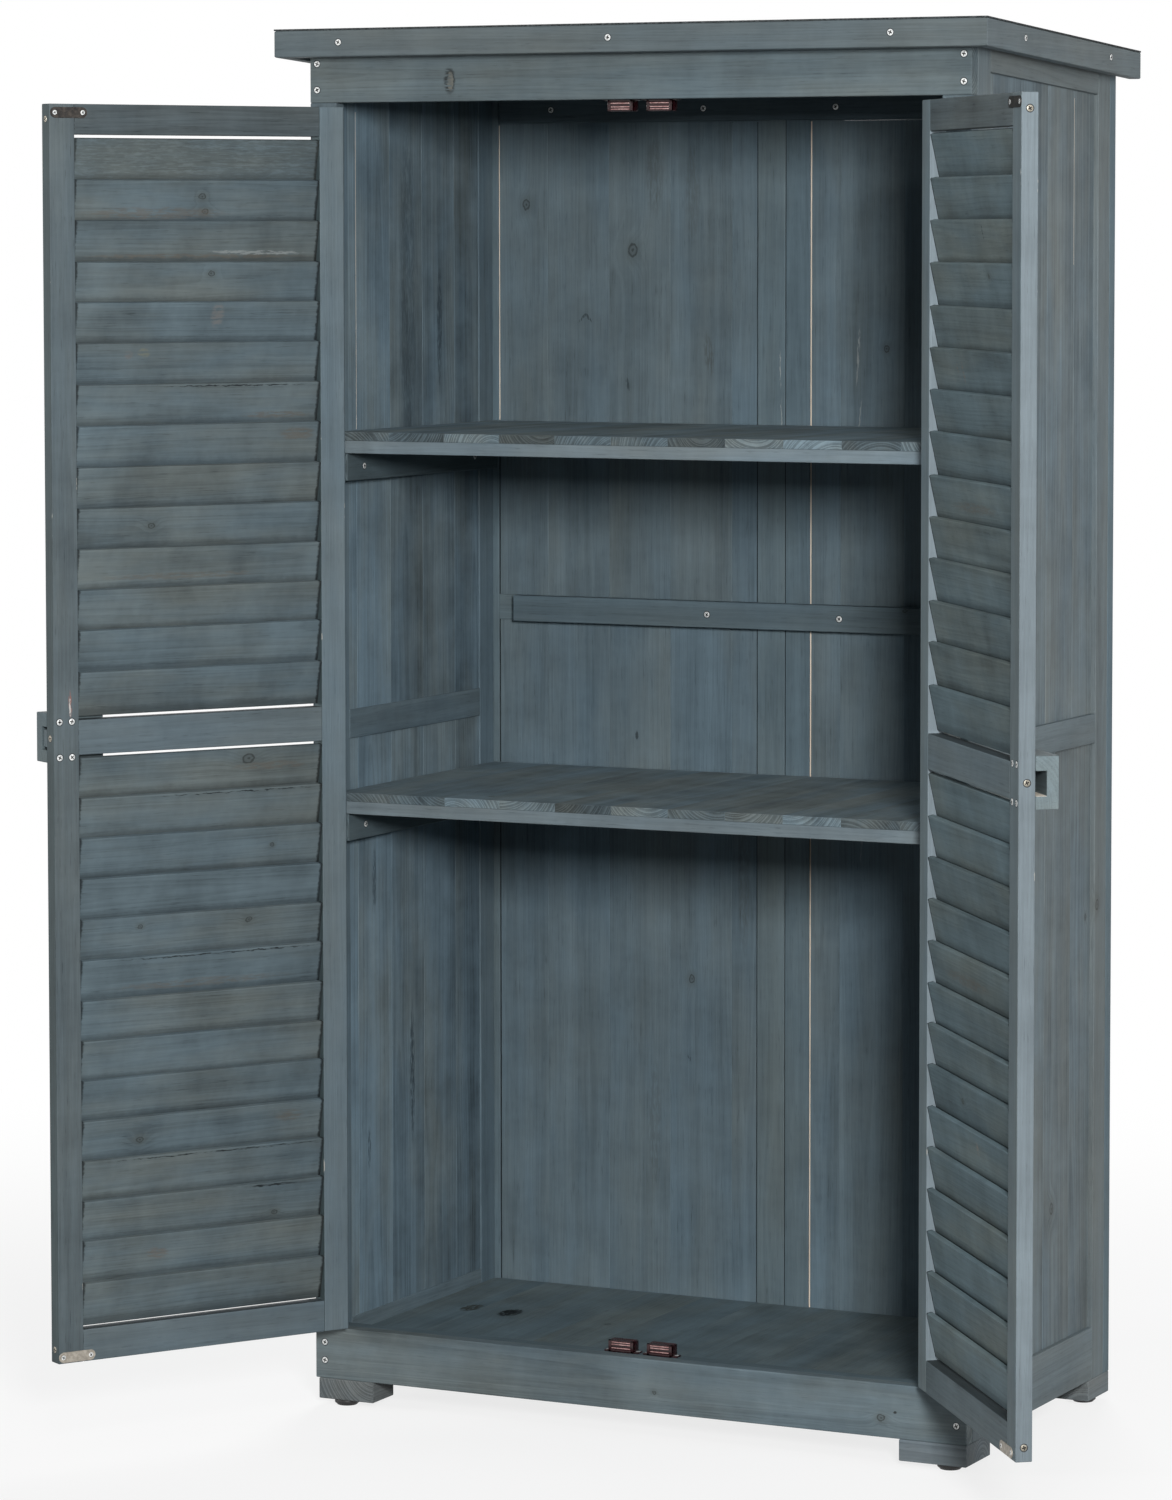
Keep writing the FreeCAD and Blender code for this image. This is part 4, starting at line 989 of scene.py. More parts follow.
# Magnetic catches: moulded red-brown plastic bodies with a screw ear at each
# end and ribs across the back. Two stand on the catch rail and two hang from
# the header batten, side by side in the middle.
CATCH_FRONT = 19.4
CATCH_DEPTH = 15.0
CATCH_WIDE = 31.0
CATCH_EAR = 6.0
CATCH_BASE = 2.0
CATCH_TALL = 14.0
CATCH_MIDDLES = (-23.0, 25.0)
CATCH_ENDS = ((CATCH_RAIL_TOP, 1), (HEADER_BATTEN[0], -1))
MAGNET_LOW = 6.0
MAGNET_HIGH = 12.0


def moulded(x0, x1, y0, y1, z0, z1, ease=0.4, steps=2, place=Matrix.Identity(4)):
    """A box with eased edges as plain points and faces."""
    size = Vector((x1 - x0, y1 - y0, z1 - z0))
    middle = Vector((x0 + x1, y0 + y1, z0 + z1)) / 2
    bm = bmesh.new()
    bmesh.ops.create_cube(bm, size=1.0)
    for v in bm.verts:
        v.co = middle + v.co * size
    bmesh.ops.recalc_face_normals(bm, faces=bm.faces)
    if ease:
        bmesh.ops.bevel(bm, geom=list(bm.edges), offset=ease, offset_type="OFFSET", segments=steps,
                        profile=0.5, affect="EDGES", clamp_overlap=True)
    bm.verts.index_update()
    part = ([place @ v.co for v in bm.verts], [[v.index for v in f.verts] for f in bm.faces])
    bm.free()
    return part


def red_brown_plastic():
    """Glossy moulded plastic with faint flow marks."""
    material, tree, shader = new_finish("red_brown_plastic")
    place = knit(tree, "TexCoord", out=3)
    flow = noise(tree, place, (60.0, 300.0, 300.0), 3.0)
    tree.links.new(tint(tree, rise(tree, flow, 0.3, 0.7), srgb(28, 8, 11), srgb(46, 14, 18)),
                   shader.inputs["Base Color"])
    tree.links.new(rise(tree, flow, 0.2, 0.8, 0.22, 0.36), shader.inputs["Roughness"])
    return material


CATCH_WALL = 3.4
CATCH_LIP = 4.0
EAR_INSET = 2.0
CATCH_RIBS = 4
RIB_PITCH = 2.4
POLE_PLATE = 1.0
POLE_HALF = 11.5
POLE_Y = (CATCH_FRONT + 0.1, CATCH_FRONT + 9)
half, deep = CATCH_WIDE / 2, CATCH_FRONT + CATCH_DEPTH
lip_front, lip_back = CATCH_FRONT, CATCH_FRONT + CATCH_LIP


def bar_z(base_z, way, low, high):
    """From where to where a bar of the catch reaches, up from its base or down."""
    return sorted((base_z + way * low, base_z + way * high))


catch_parts, magnet_parts = [], []
for base_z, way in CATCH_ENDS:
    for x in CATCH_MIDDLES:
        ear = half + CATCH_EAR
        base_bar = bar_z(base_z, way, 0, CATCH_BASE)
        catch_parts.append(moulded(x - ear, x + ear, lip_front + EAR_INSET, deep - EAR_INSET, *base_bar, 0.6))
        housing = bar_z(base_z, way, 0.4, CATCH_TALL - 0.6)
        catch_parts.append(moulded(x - half, x + half, CATCH_FRONT + 0.9, deep, *housing, 0.5))
        for rim_low, rim_high in ((0.3, 3.0), (MAGNET_HIGH + 0.4, CATCH_TALL)):
            rim = bar_z(base_z, way, rim_low, rim_high)
            catch_parts.append(moulded(x - half, x + half, lip_front, lip_back, *rim, 0.5))
        for end in (-1, 1):
            wall = bar_z(base_z, way, 0.3, CATCH_TALL)
            catch_parts.append(moulded(x + end * half, x + end * (half - CATCH_WALL), lip_front, lip_back,
                                       *wall, 0.5))
        for n in range(CATCH_RIBS):
            rib_y = deep - RIB_PITCH * (n + 1)
            rib = bar_z(base_z, way, CATCH_TALL - 1.2, CATCH_TALL)
            catch_parts.append(moulded(x - half + 1, x + half - 1, rib_y, rib_y + 1.1, *rib, 0.25))
        for low in (MAGNET_LOW - 1.6, (MAGNET_LOW + MAGNET_HIGH) / 2 - 0.5, MAGNET_HIGH - 1.0):
            plate = bar_z(base_z, way, low, low + POLE_PLATE)
            magnet_parts.append(moulded(x - POLE_HALF, x + POLE_HALF, *POLE_Y, *plate, 0.15))
cast("moulded_magnetic_catches", catch_parts, red_brown_plastic(), "carcass", "magnetic_catches")


def plated_steel(name, dark, light, roughness, metal=0.85):
    """Plated steel with faint dull clouds and fine scratches."""
    material, tree, shader = new_finish(name)
    clouds = 220.0
    shader.inputs["Metallic"].default_value = metal
    place = knit(tree, "TexCoord", out=3)
    cloud = noise(tree, place, (clouds, clouds, clouds), 3.0)
    scratch = noise(tree, place, (clouds * 3, clouds * 12, clouds), 2.0)
    tree.links.new(tint(tree, rise(tree, cloud, 0.3, 0.7), dark, light), shader.inputs["Base Color"])
    dulled = rise(tree, scratch, 0.2, 0.8, roughness - 0.08, roughness + 0.12)
    tree.links.new(dulled, shader.inputs["Roughness"])
    relief(tree, shader, scratch, 0.12, 0.0001)
    return material


# Magnets: a block magnet between thin steel plates in each catch, the plates'
# edges standing just proud of the plastic. They show as pale lines: the plates
# are real, their pale pink colour is painted reflection.
cast("catch_pole_plates", magnet_parts,
     plated_steel("pole_plate_painted_reflection", srgb(168, 124, 122), srgb(214, 178, 174), 0.42, metal=0.5),
     "carcass", "catch_magnets")


# Hinges: three zinc-plated butt hinges to a door. A leaf with two knuckles is
# screwed to the post, a leaf with the middle knuckle to the door's stile, and
# a pin with two flat heads goes through all three.
PIN_Y = -3.2
PIN_R = 1.4
BARREL_R = 2.85
LEAF = 1.5
LEAF_CLEAR = 3.4
LEAF_WIDTH = 24.0
HINGE_HIGH = 60.0
HINGE_MIDDLES = (215.0, 793.5, 1372.0)
KNUCKLE_GAP = 0.3
OPEN_DEG = {-1: 121.8, 1: 128.4}
hinge_zinc = plated_steel("dull_zinc_hinge_steel", srgb(138, 142, 143), srgb(176, 180, 179), 0.42, metal=0.75)


def opened(side):
    """Turns what is drawn on a closed door into the door's place at rest."""
    pin = Vector((side * OPENING_HALF, PIN_Y, 0))
    swing = Matrix.Rotation(math.radians(side * OPEN_DEG[side]), 4, "Z")
    return Matrix.Translation(pin) @ swing @ Matrix.Translation(-pin)


def hinge_leaf(side, toward, middle, spans, start, place):
    """A leaf with its knuckles, on the post (toward -1) or on the door (toward 1)."""
    x = side * OPENING_HALF
    way = -side * toward
    z0, z1 = middle - HINGE_HIGH / 2, middle + HINGE_HIGH / 2
    leaf_x = sorted((x + way * LEAF_CLEAR, x + way * LEAF_WIDTH))
    parts = [moulded(*leaf_x, -LEAF, -0.02, z0, z1, 0.35, 2, place)]
    for low, high in spans:
        root_x = sorted((x + way * (start + 0.2), x + way * (LEAF_CLEAR + 0.6)))
        parts.append(moulded(*root_x, -LEAF, -0.05, low, high, 0.0, 1, place))
        bore, eased = PIN_R + 0.06, BARREL_R - 0.3
        barrel = [(bore, low), (eased, low), (BARREL_R, low + 0.3), (BARREL_R, high - 0.3),
                  (eased, high), (bore, high), (bore, low)]
        points, faces = turned(barrel, (x, PIN_Y, 0), sides=28)
        parts.append(([place @ p for p in points], faces))
    return parts


third = HINGE_HIGH / 3
PIN_HEAD_R = 2.25
PIN_HEAD = 1.0
pin_head = ((PIN_HEAD_R, 0.0), (PIN_HEAD_R, 0.6), (1.7, PIN_HEAD), (0, PIN_HEAD))
pin_outline = [(r, -z) for r, z in reversed(pin_head)] + [(PIN_R, 0.0), (PIN_R, HINGE_HIGH)]
pin_outline += [(r, HINGE_HIGH + z) for r, z in pin_head]
post_leaf_parts, pin_parts = [], []
for side in (-1, 1):
    for z in HINGE_MIDDLES:
        outer_spans = ((z - HINGE_HIGH / 2, z - third / 2 - KNUCKLE_GAP / 2),
                       (z + third / 2 + KNUCKLE_GAP / 2, z + HINGE_HIGH / 2))
        post_leaf_parts += hinge_leaf(side, -1, z, outer_spans, 0.0, Matrix.Identity(4))
        pin_parts.append(turned(pin_outline, (side * OPENING_HALF, PIN_Y, z - HINGE_HIGH / 2), sides=24))
cast("post_hinge_leaves", post_leaf_parts, hinge_zinc, "carcass", "hinge_leaves_on_posts")
cast("turned_hinge_pins", pin_parts, hinge_zinc, "carcass", "hinge_pins")


# Doors: two planed fir stiles and three rails round two fields of fourteen
# tilted slats let into the stiles, with a narrow slit left open above and
# below each field. The right door's edges took less stain and are paler, the
# left door's edges are coloured darker as painted shade.
DOOR_WIDTH = 369.3
DOOR_BOTTOM = 95.0
DOOR_TOP = 1491.5
DOOR_STILE = 31.0
DOOR_BOTTOM_RAIL = 36.0
DOOR_MID_RAIL = (774.0, 813.0)
DOOR_TOP_RAIL = 33.5
DOOR_SLIT = 3.5
SLATS = 14
SLAT_WIDTH = 50.0
SLAT_THICK = 7.0
SLAT_TILT = math.radians(12.5)
SLAT_LET_IN = 4.0
DOOR_BODY = {-1: "left_door", 1: "right_door"}


def door_x(side, along):
    """Where a place along the closed door, from its hinge edge, lies across the cabinet."""
    return side * (OPENING_HALF - 1.0 - along)


def door_stick(side, d0, d1, y0, y1, z0, z1, grain):
    """A plain board of a door, turned open with it."""
    outline, length, place = stick(door_x(side, d0), door_x(side, d1), y0, y1, z0, z1, grain)
    return outline, length, opened(side) @ place


def slat_field(side, low, high, uneven, lifts):
    """Fourteen tilted slats, each a little uneven. lifts raise the lowest and the top one."""
    reach = SLAT_WIDTH * math.cos(SLAT_TILT) + SLAT_THICK * math.sin(SLAT_TILT)
    pitch = (high - low - reach) / (SLATS - 1)
    length = DOOR_WIDTH - 2 * DOOR_STILE + 2 * SLAT_LET_IN
    field = []
    for n in range(SLATS):
        inner_slat = 0 < n < SLATS - 1
        lean = SLAT_TILT + math.radians(uneven.uniform(-0.7, 0.1))
        z = low + reach / 2 + n * pitch + (uneven.uniform(-0.8, 0.8) if inner_slat else lifts[n > 0])
        skew = math.radians(uneven.uniform(-0.12, 0.12)) if inner_slat else 0.0
        across = Vector((0, math.sin(lean), math.cos(lean)))
        through = Vector((0, math.cos(lean), -math.sin(lean)))
        at = Vector((door_x(side, DOOR_WIDTH / 2), TIMBER / 2, z))
        place = opened(side) @ Matrix.Translation(at) @ Matrix.Rotation(skew, 4, "Y") @ laid(
            AXES["x"], across, through)
        field.append(shape_board((oblong(SLAT_WIDTH, SLAT_THICK), length, place), 1.1))
    return field


door_frame_stain = {-1: srgb(96, 108, 114), 1: srgb(100, 112, 117)}
door_slat_stain = {-1: srgb(92, 104, 109), 1: srgb(94, 108, 112)}
# The left door's edge colour is darker than its stiles as painted shade; the right door's is a paler stain.
door_edge_stain_and_shade = {-1: srgb(74, 87, 90), 1: srgb(113, 124, 130)}
pink_split, brown_mark, tan_mark = srgb(146, 128, 120), srgb(96, 88, 78), srgb(112, 104, 92)
RAIL_TONES = {-1: ((0.0, 0.0), (0.0, 0.0), (-1.9, 0.3)), 1: ((-0.9, 0.2), (0.0, 0.0), (-1.6, 0.3))}
STILE_TONES = {-1: {"hinge": (0.9, -0.4), "free": (-1.2, 0.3)},
               1: {"hinge": (1.1, 0.0), "free": (0.0, 0.0)}}
STILE_MARKS = {-1: {0: [(0.0377, -0.005, 0.015, 0.0019, 0.02, 1.1, srgb(134, 96, 90)),
                        (0.0350, -0.0048, 0.011, 0.0009, 0.02, 1.7, srgb(196, 192, 188))]},
               1: {0: [(0.618, -0.0138, 0.004, 0.0007, 0.0, 1.4, srgb(182, 188, 188)),
                       (0.606, -0.0140, 0.0015, 0.0006, 0.0, 1.2, pale_scuff)]}}
SLAT_LIFTS = {"left_door_upper": (-0.8, 0.4), "left_door_lower": (-1.8, 0.8),
              "right_door_upper": (-0.6, 1.7), "right_door_lower": (-0.6, 0.6)}
SLAT_KNOTS = {
    "left_door_upper": {
        12: [(-0.0064, 0.007, 0.003), (-0.0115, -0.010, 0.0028)], 10: [(-0.0166, 0.0125, 0.0026)],
        4: [(0.06, 0.004, 0.003)]},
    "left_door_lower": {
        13: [(-0.060, 0.0137, 0.0052)], 11: [(-0.091, 0.0037, 0.0019)],
        9: [(-0.059, 0.0119, 0.003), (0.078, 0.013, 0.0022)], 4: [(0.079, -0.002, 0.0033)],
        2: [(-0.093, -0.0115, 0.0025)]},
    "right_door_upper": {10: [(-0.06, 0.012, 0.0022)]},
    "right_door_lower": {6: [(0.03, 0.004, 0.003)]}}
SLAT_MARKS = {
    "left_door_upper": {
        13: [(0.0, 0.0, 0.30, 0.045, 0.0, 0.32, srgb(62, 66, 62))],
        12: [(0.05, -0.012, 0.09, 0.007, 0.0, 0.45, brown_mark)],
        11: [(-0.076, -0.0105, 0.060, 0.0023, 0.01, 0.6, pale_scuff),
             (0.0, -0.0145, 0.14, 0.0025, 0.0, 0.5, brown_mark)],
        9: [(-0.024, 0.0105, 0.0085, 0.014, -0.15, 0.38, srgb(126, 118, 112))],
        8: [(0.069, 0.014, 0.008, 0.006, 0.0, 0.5, srgb(116, 116, 98)),
            (0.088, 0.012, 0.006, 0.005, 0.0, 0.4, srgb(112, 104, 100))],
        7: [(-0.05, 0.0225, 0.10, 0.0008, 0.003, 1.0, dark_stain),
            (-0.10, -0.012, 0.045, 0.004, 0.0, 0.5, brown_mark)],
        6: [(-0.125, 0.012, 0.022, 0.008, 0.0, 0.5, brown_mark)],
        3: [(0.02, -0.008, 0.10, 0.004, 0.0, 0.4, brown_mark)]},
    "left_door_lower": {
        13: [(-0.09, 0.004, 0.05, 0.005, 0.0, 0.4, brown_mark)],
        12: [(-0.05, 0.0225, 0.11, 0.0007, 0.0, 1.0, dark_stain)],
        8: [(-0.03, 0.0225, 0.14, 0.0008, 0.0, 1.0, dark_stain),
            (0.0, -0.010, 0.11, 0.005, 0.0, 0.4, brown_mark)],
        4: [(-0.11, 0.010, 0.018, 0.007, 0.0, 0.4, brown_mark)],
        3: [(-0.02, 0.0225, 0.14, 0.0008, 0.0, 1.0, dark_stain)],
        2: [(-0.085, 0.0222, 0.032, 0.0013, 0.0, 1.6, dark_stain)],
        1: [(0.058, 0.003, 0.014, 0.007, 0.1, 0.45, srgb(104, 92, 82))]},
    "right_door_upper": {
        11: [(-0.036, 0.014, 0.0014, 0.010, 0.0, 0.8, dark_stain)],
        8: [(0.04, 0.0, 0.0035, 0.012, 0.2, 0.5, tan_mark), (0.06, 0.003, 0.003, 0.009, 0.2, 0.4, tan_mark)],
        5: [(0.0, -0.004, 0.08, 0.006, 0.0, 0.4, brown_mark)]},
    "right_door_lower": {
        9: [(0.02, -0.002, 0.08, 0.008, 0.0, 0.4, brown_mark)],
        5: [(-0.03, 0.008, 0.004, 0.008, 0.0, 0.5, pink_split)]},
}
door_fields = {"lower": (DOOR_BOTTOM + DOOR_BOTTOM_RAIL + DOOR_SLIT, DOOR_MID_RAIL[0] - DOOR_SLIT),
               "upper": (DOOR_MID_RAIL[1] + DOOR_SLIT, DOOR_TOP - DOOR_TOP_RAIL - DOOR_SLIT)}
for side in (-1, 1):
    body = DOOR_BODY[side]
    # The rails' top and bottom faces, which show in the slits, are darkened to 0.35 as painted shade.
    rail_wood = stained_wood(f"stained_{body}_rails", door_frame_stain[side], rings=0.07, streaks=0.2,
                             tone=0.2, sides=0.35)
    slat_wood = stained_wood(f"stained_{body}_slats", door_slat_stain[side], rings=0.11, streaks=0.22,
                             blotch=0.95, tone=0.06, sides=1.08, painted_shade=0.36, marked=True)
    stile_wood = stained_wood(f"stained_{body}_stiles", door_frame_stain[side], rings=0.06, streaks=0.16,
                              edge_stain_and_shade=door_edge_stain_and_shade[side], chips=1.0, tone=0.2, marked=True)
    free = DOOR_WIDTH - DOOR_STILE
    for stile, d0, d1 in (("hinge", 0, DOOR_STILE), ("free", free, DOOR_WIDTH)):
        upright = door_stick(side, d0, d1, 0, TIMBER, DOOR_BOTTOM, DOOR_TOP, "z")
        lay_up(f"{body}_planed_{stile}_stile", [shape_board(upright, 1.0)],
               stile_wood, body, f"{body}_{stile}_stile", timber=80 + side + d0, knotty=0,
               tones=(STILE_TONES[side][stile],), marks=STILE_MARKS[side] if stile == "free" else {9: []})
    lay_up(f"{body}_planed_rails", [
        shape_board(door_stick(side, DOOR_STILE, free, 0, TIMBER, low, high, "x"), 1.0)
        for low, high in ((DOOR_BOTTOM, DOOR_BOTTOM + DOOR_BOTTOM_RAIL), DOOR_MID_RAIL,
                          (DOOR_TOP - DOOR_TOP_RAIL, DOOR_TOP))
    ], rail_wood, body, f"{body}_rails", timber=84 + side, tones=RAIL_TONES[side], knotty=0)
    for field, (low, high) in door_fields.items():
        louvre = f"{body}_{field}"
        slats = slat_field(side, low, high, random.Random(f"{body}{field}"), SLAT_LIFTS[louvre])
        lay_up(f"{body}_tilted_{field}_slats", slats, slat_wood, body, f"{louvre}_slats",
               timber=louvre, knots=SLAT_KNOTS[louvre], marks=SLAT_MARKS[louvre], knotty=0)

# Each door's share of its hinges
for side in (-1, 1):
    body = DOOR_BODY[side]
    door_leaf_parts = []
    for z in HINGE_MIDDLES:
        spans = ((z - third / 2 + KNUCKLE_GAP / 2, z + third / 2 - KNUCKLE_GAP / 2),)
        door_leaf_parts += hinge_leaf(side, 1, z, spans, 0.6, opened(side))
    cast(f"{body}_hinge_leaves_plated", door_leaf_parts, hinge_zinc, body, f"{body}_hinge_leaves")


# Latch: a grooved fir block on the outer face of each free stile at the
# middle rail. A plain wooden bar slides in the left block's groove and is
# pushed across into the right one, the keeper. The saw left its groove bare.
BLOCK_LONG = 70.0
BLOCK_OUT = 25.0
BLOCK_Z = (765.5, 820.5)
SLOT_DEEP = 12.0
SLOT_Z = (779.5, 805.0)
# The left block is coloured darker than the keeper as painted shade.
block_stain_and_shade = {-1: srgb(84, 96, 100), 1: srgb(100, 111, 114)}
for side, block_name in ((-1, "left_latch_block"), (1, "right_keeper_block")):
    body = DOOR_BODY[side]
    block_mid = sum(BLOCK_Z) / 2
    groove = [(BLOCK_Z[0], -BLOCK_OUT), (BLOCK_Z[1], -BLOCK_OUT), (BLOCK_Z[1], 0), (SLOT_Z[1], 0),
              (SLOT_Z[1], -SLOT_DEEP), (SLOT_Z[0], -SLOT_DEEP), (SLOT_Z[0], 0), (BLOCK_Z[0], 0)]
    block_outline = [(z - block_mid, y + BLOCK_OUT / 2) for z, y in groove]
    at = Vector((door_x(side, DOOR_WIDTH - BLOCK_LONG / 2), -BLOCK_OUT / 2, block_mid))
    block_place = opened(side) @ Matrix.Translation(at) @ laid(AXES["x"], AXES["z"], AXES["y"])
    block = shape_board((block_outline, BLOCK_LONG, block_place), 1.0)
    block_wood = stained_wood(f"stained_{block_name}", block_stain_and_shade[side], rings=0.07, streaks=0.13,
                              ends=1.18, end_rings=0.12, roughness=0.6)
    piece = lay_up(f"grooved_{block_name}", [block], block_wood, body, block_name, timber=90 + side,
                   knots={0: [NO_KNOT]}, tones=((0.0, 0.0),))
    if side > 0:
        piece.data.materials.append(bare_fir)
        low_wall = SLOT_Z[0] - block_mid
        for polygon, face in zip(piece.data.polygons, block["faces"]):
            middle = sum((block["co"][i] for i in face), Vector()) / len(face)
            if abs(middle.y - low_wall) < 0.2 and middle.z > BLOCK_OUT / 2 - SLOT_DEEP:
                polygon.material_index = 1

# The sliding bar, with its corners rounded by use
BAR_LONG = 138.0
BAR_END = DOOR_WIDTH - 2
BAR_Y = (-11.5, -0.5)
BAR_Z = (782.0, 802.0)
bar = door_stick(-1, BAR_END - BAR_LONG, BAR_END, *BAR_Y, *BAR_Z, "x")
lay_up("sliding_latch_bar", [shape_board(bar, 1.5, steps=3)],
       stained_wood("stained_latch_bar", srgb(92, 104, 110), rings=0.08, streaks=0.14, ends=1.2),
       "latch", "latch_bar", timber=95, knots={0: [NO_KNOT]})


# Strike plates: small round-ended steel plates on the inner face of each
# door's free stile, top and bottom, where the magnets grip. All are one steel:
# the upper ones are coloured dark brown as painted shade, the lower ones pale
# and brassy as painted reflection.
STRIKE = 0.8
STRIKE_LONG = 45.0
STRIKE_HIGH = 12.0
STRIKE_Z = {"top": 1482.0, "bottom": 102.0}
STRIKE_MIDDLES = {-1: {"top": 345.5, "bottom": 346.5}, 1: {"top": 347.0, "bottom": 337.0}}


def strike_plate(side, middle, z):
    """Round-ended plate with an eased rim, drawn from its outline."""
    radius = STRIKE_HIGH / 2 - 0.05
    straight = STRIKE_LONG / 2 - STRIKE_HIGH / 2
    arc_steps = 12
    outline = []
    for end in (1, -1):
        for n in range(arc_steps + 1):
            a = -math.pi / 2 + math.pi * n / arc_steps
            outline.append((end * (straight + radius * math.cos(a)), end * radius * math.sin(a)))
    layers = ((0.0, 0.0), (0.0, STRIKE - 0.25), (0.225, STRIKE))
    points, faces = [], []
    x = door_x(side, middle)
    for drawn_in, high in layers:
        for a, b in outline:
            lift = b - drawn_in * b / STRIKE_HIGH
            reach = a - math.copysign(drawn_in / 2, a)
            points.append(opened(side) @ Vector((x + reach, TIMBER + high, z + lift)))
    count = len(outline)
    for low in (0, count):
        for n in range(count):
            m = (n + 1) % count
            faces.append((low + n, low + m, low + count + m, low + count + n))
    faces.append(tuple(range(2 * count, 3 * count)))
    faces.append(tuple(reversed(range(count))))
    return points, [f[::-1] for f in faces]


# One steel coloured twice: dark as painted shade at the top, pale as painted reflection at the bottom.
strike_steel_lit_copies = {"top": plated_steel("strike_plate_painted_shade", srgb(34, 33, 33), srgb(58, 54, 50), 0.40),
                "bottom": plated_steel("strike_plate_painted_reflection", srgb(138, 132, 122), srgb(172, 165, 154), 0.5,
                                       metal=0.4)}
for side in (-1, 1):
    body = DOOR_BODY[side]
    for place_name, z in STRIKE_Z.items():
        plate = strike_plate(side, STRIKE_MIDDLES[side][place_name], z)
        cast(f"{body}_{place_name}_strike", [plate], strike_steel_lit_copies[place_name], body)
    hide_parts(f"{body}_strike_plates")


# Screws: zinc-plated, cross-slotted, driven until their heads sit in the
# wood. The heads are coloured near white as painted reflection, the slots near
# black as painted shade, and each head has a thin dark ring of painted shade.
HEAD_R = 3.5
HEAD = 0.3
SMALL_R = 2.6
SMALL_HEAD = 0.2
RIM_SIDES = 24
SLOT_CORNERS = 12
screw_draw = random.Random(101)


def screw_head(at, facing, radius=HEAD_R, height=HEAD, place=Matrix.Identity(4)):
    """A low head with a real cross slot, as (rim and flat, slot walls and floor)."""
    arm, half = radius * 0.66, radius * 0.17
    cross = []
    for quarter in range(4):
        a = quarter * math.pi / 2
        for u, v in ((half, -half), (arm, -half), (arm, half)):
            cross.append((u * math.cos(a) - v * math.sin(a), u * math.sin(a) + v * math.cos(a)))
    cross = cross[1:] + cross[:1]
    angles = [math.tau * n / RIM_SIDES - 0.13 for n in range(RIM_SIDES)]
    points, faces = [], []
    for share, high in ((1.0, 0.0), (0.98, height * 0.45), (0.84, height)):
        points += [(radius * share * math.cos(a), radius * share * math.sin(a), high) for a in angles]
    for low in (0, RIM_SIDES):
        for n in range(RIM_SIDES):
            m = (n + 1) % RIM_SIDES
            faces.append((low + n, low + m, low + RIM_SIDES + m, low + RIM_SIDES + n))
    flat_rim, top = 2 * RIM_SIDES, 3 * RIM_SIDES
    points += [(x, y, height) for x, y in cross]
    points += [(x * 0.9, y * 0.9, height * 0.12) for x, y in cross]
    slot = [tuple(range(top + SLOT_CORNERS, top + 2 * SLOT_CORNERS))]
    for n in range(SLOT_CORNERS):
        m = (n + 1) % SLOT_CORNERS
        slot.append((top + n, top + m, top + SLOT_CORNERS + m, top + SLOT_CORNERS + n))
        faces.append((flat_rim + 2 * n, flat_rim + (2 * n + 1) % RIM_SIDES,
                      flat_rim + (2 * n + 2) % RIM_SIDES, top + m, top + n))
    spin = Matrix.Rotation(screw_draw.uniform(0, math.tau), 3, "Z")
    aim = Vector((0, 0, 1)).rotation_difference(Vector(facing)).to_matrix() @ spin
    placed = [place @ (Vector(at) + aim @ Vector(p)) for p in points]
    return (placed, faces), (placed[top:], [[i - top for i in f] for f in slot])


def painted_shade_ring(at, facing, radius=HEAD_R, place=Matrix.Identity(4)):
    """A thin dark ring of painted shade round a head, where it sits in the wood."""
    collar = [(radius * 0.95, 0.04), (radius * 1.22, 0.035), (radius * 1.27, 0.0)]
    points, faces = turned(collar, at, Vector(facing), RIM_SIDES)
    return [place @ p for p in points], faces


# Painted shade: the ring round each head is coloured near black.
ring_shade_finish, ring_shade_tree, ring_shade_shader = new_finish("countersink_painted_shade")
ring_shade_noise = noise(ring_shade_tree, knit(ring_shade_tree, "TexCoord", out=3), (400.0, 400.0, 400.0), 2.0)
ring_shade_tree.links.new(tint(ring_shade_tree, ring_shade_noise, srgb(22, 27, 29), srgb(52, 60, 64)),
                      ring_shade_shader.inputs["Base Color"])
ring_shade_shader.inputs["Roughness"].default_value = 0.8

# The heads are coloured near white and barely metallic: a painted reflection that keeps them bright in shade.
zinc = plated_steel("zinc_steel_painted_reflection", srgb(200, 203, 203), srgb(234, 236, 234), 0.44, metal=0.2)
# The slots' walls and floor are coloured near black as painted shade.
slot_painted_shade = plated_steel("screw_slot_painted_shade", srgb(22, 22, 22), srgb(44, 43, 41), 0.6)
edge_brass = plated_steel("yellowed_zinc_steel", srgb(112, 108, 99), srgb(152, 147, 135), 0.48)
FRONT = (0, -1, 0)
INSIDE = (0, 1, 0)
BOARD_END_SCREWS = {"header": (396.0, (1511.5, 1541.0)), "bottom_board": (393.0, (52.0, 73.0))}
SIDE_FASCIA_SCREWS = (81.0, 340.0)
SIDE_FASCIA_SCREW_DROP = 14.8
SUPPORT_SCREWS = (65.0, 340.0)
FRONT_FASCIA_SCREWS = ((-352.0, -14.0, 323.0), -OVERHANG, 1564.0)
TOP_BATTEN_SCREWS = ((-301.0, -100.0, 70.0, 271.0), BACK_FACE - BATTEN, 1495.5)
MID_BATTEN_SCREWS = ((-95.0, 76.0), BACK_FACE - BATTEN, 897.5)
LEAF_SCREW_OUT = 15.0
LEAF_SCREWS = (-20.0, 20.0)
carcass_heads = []
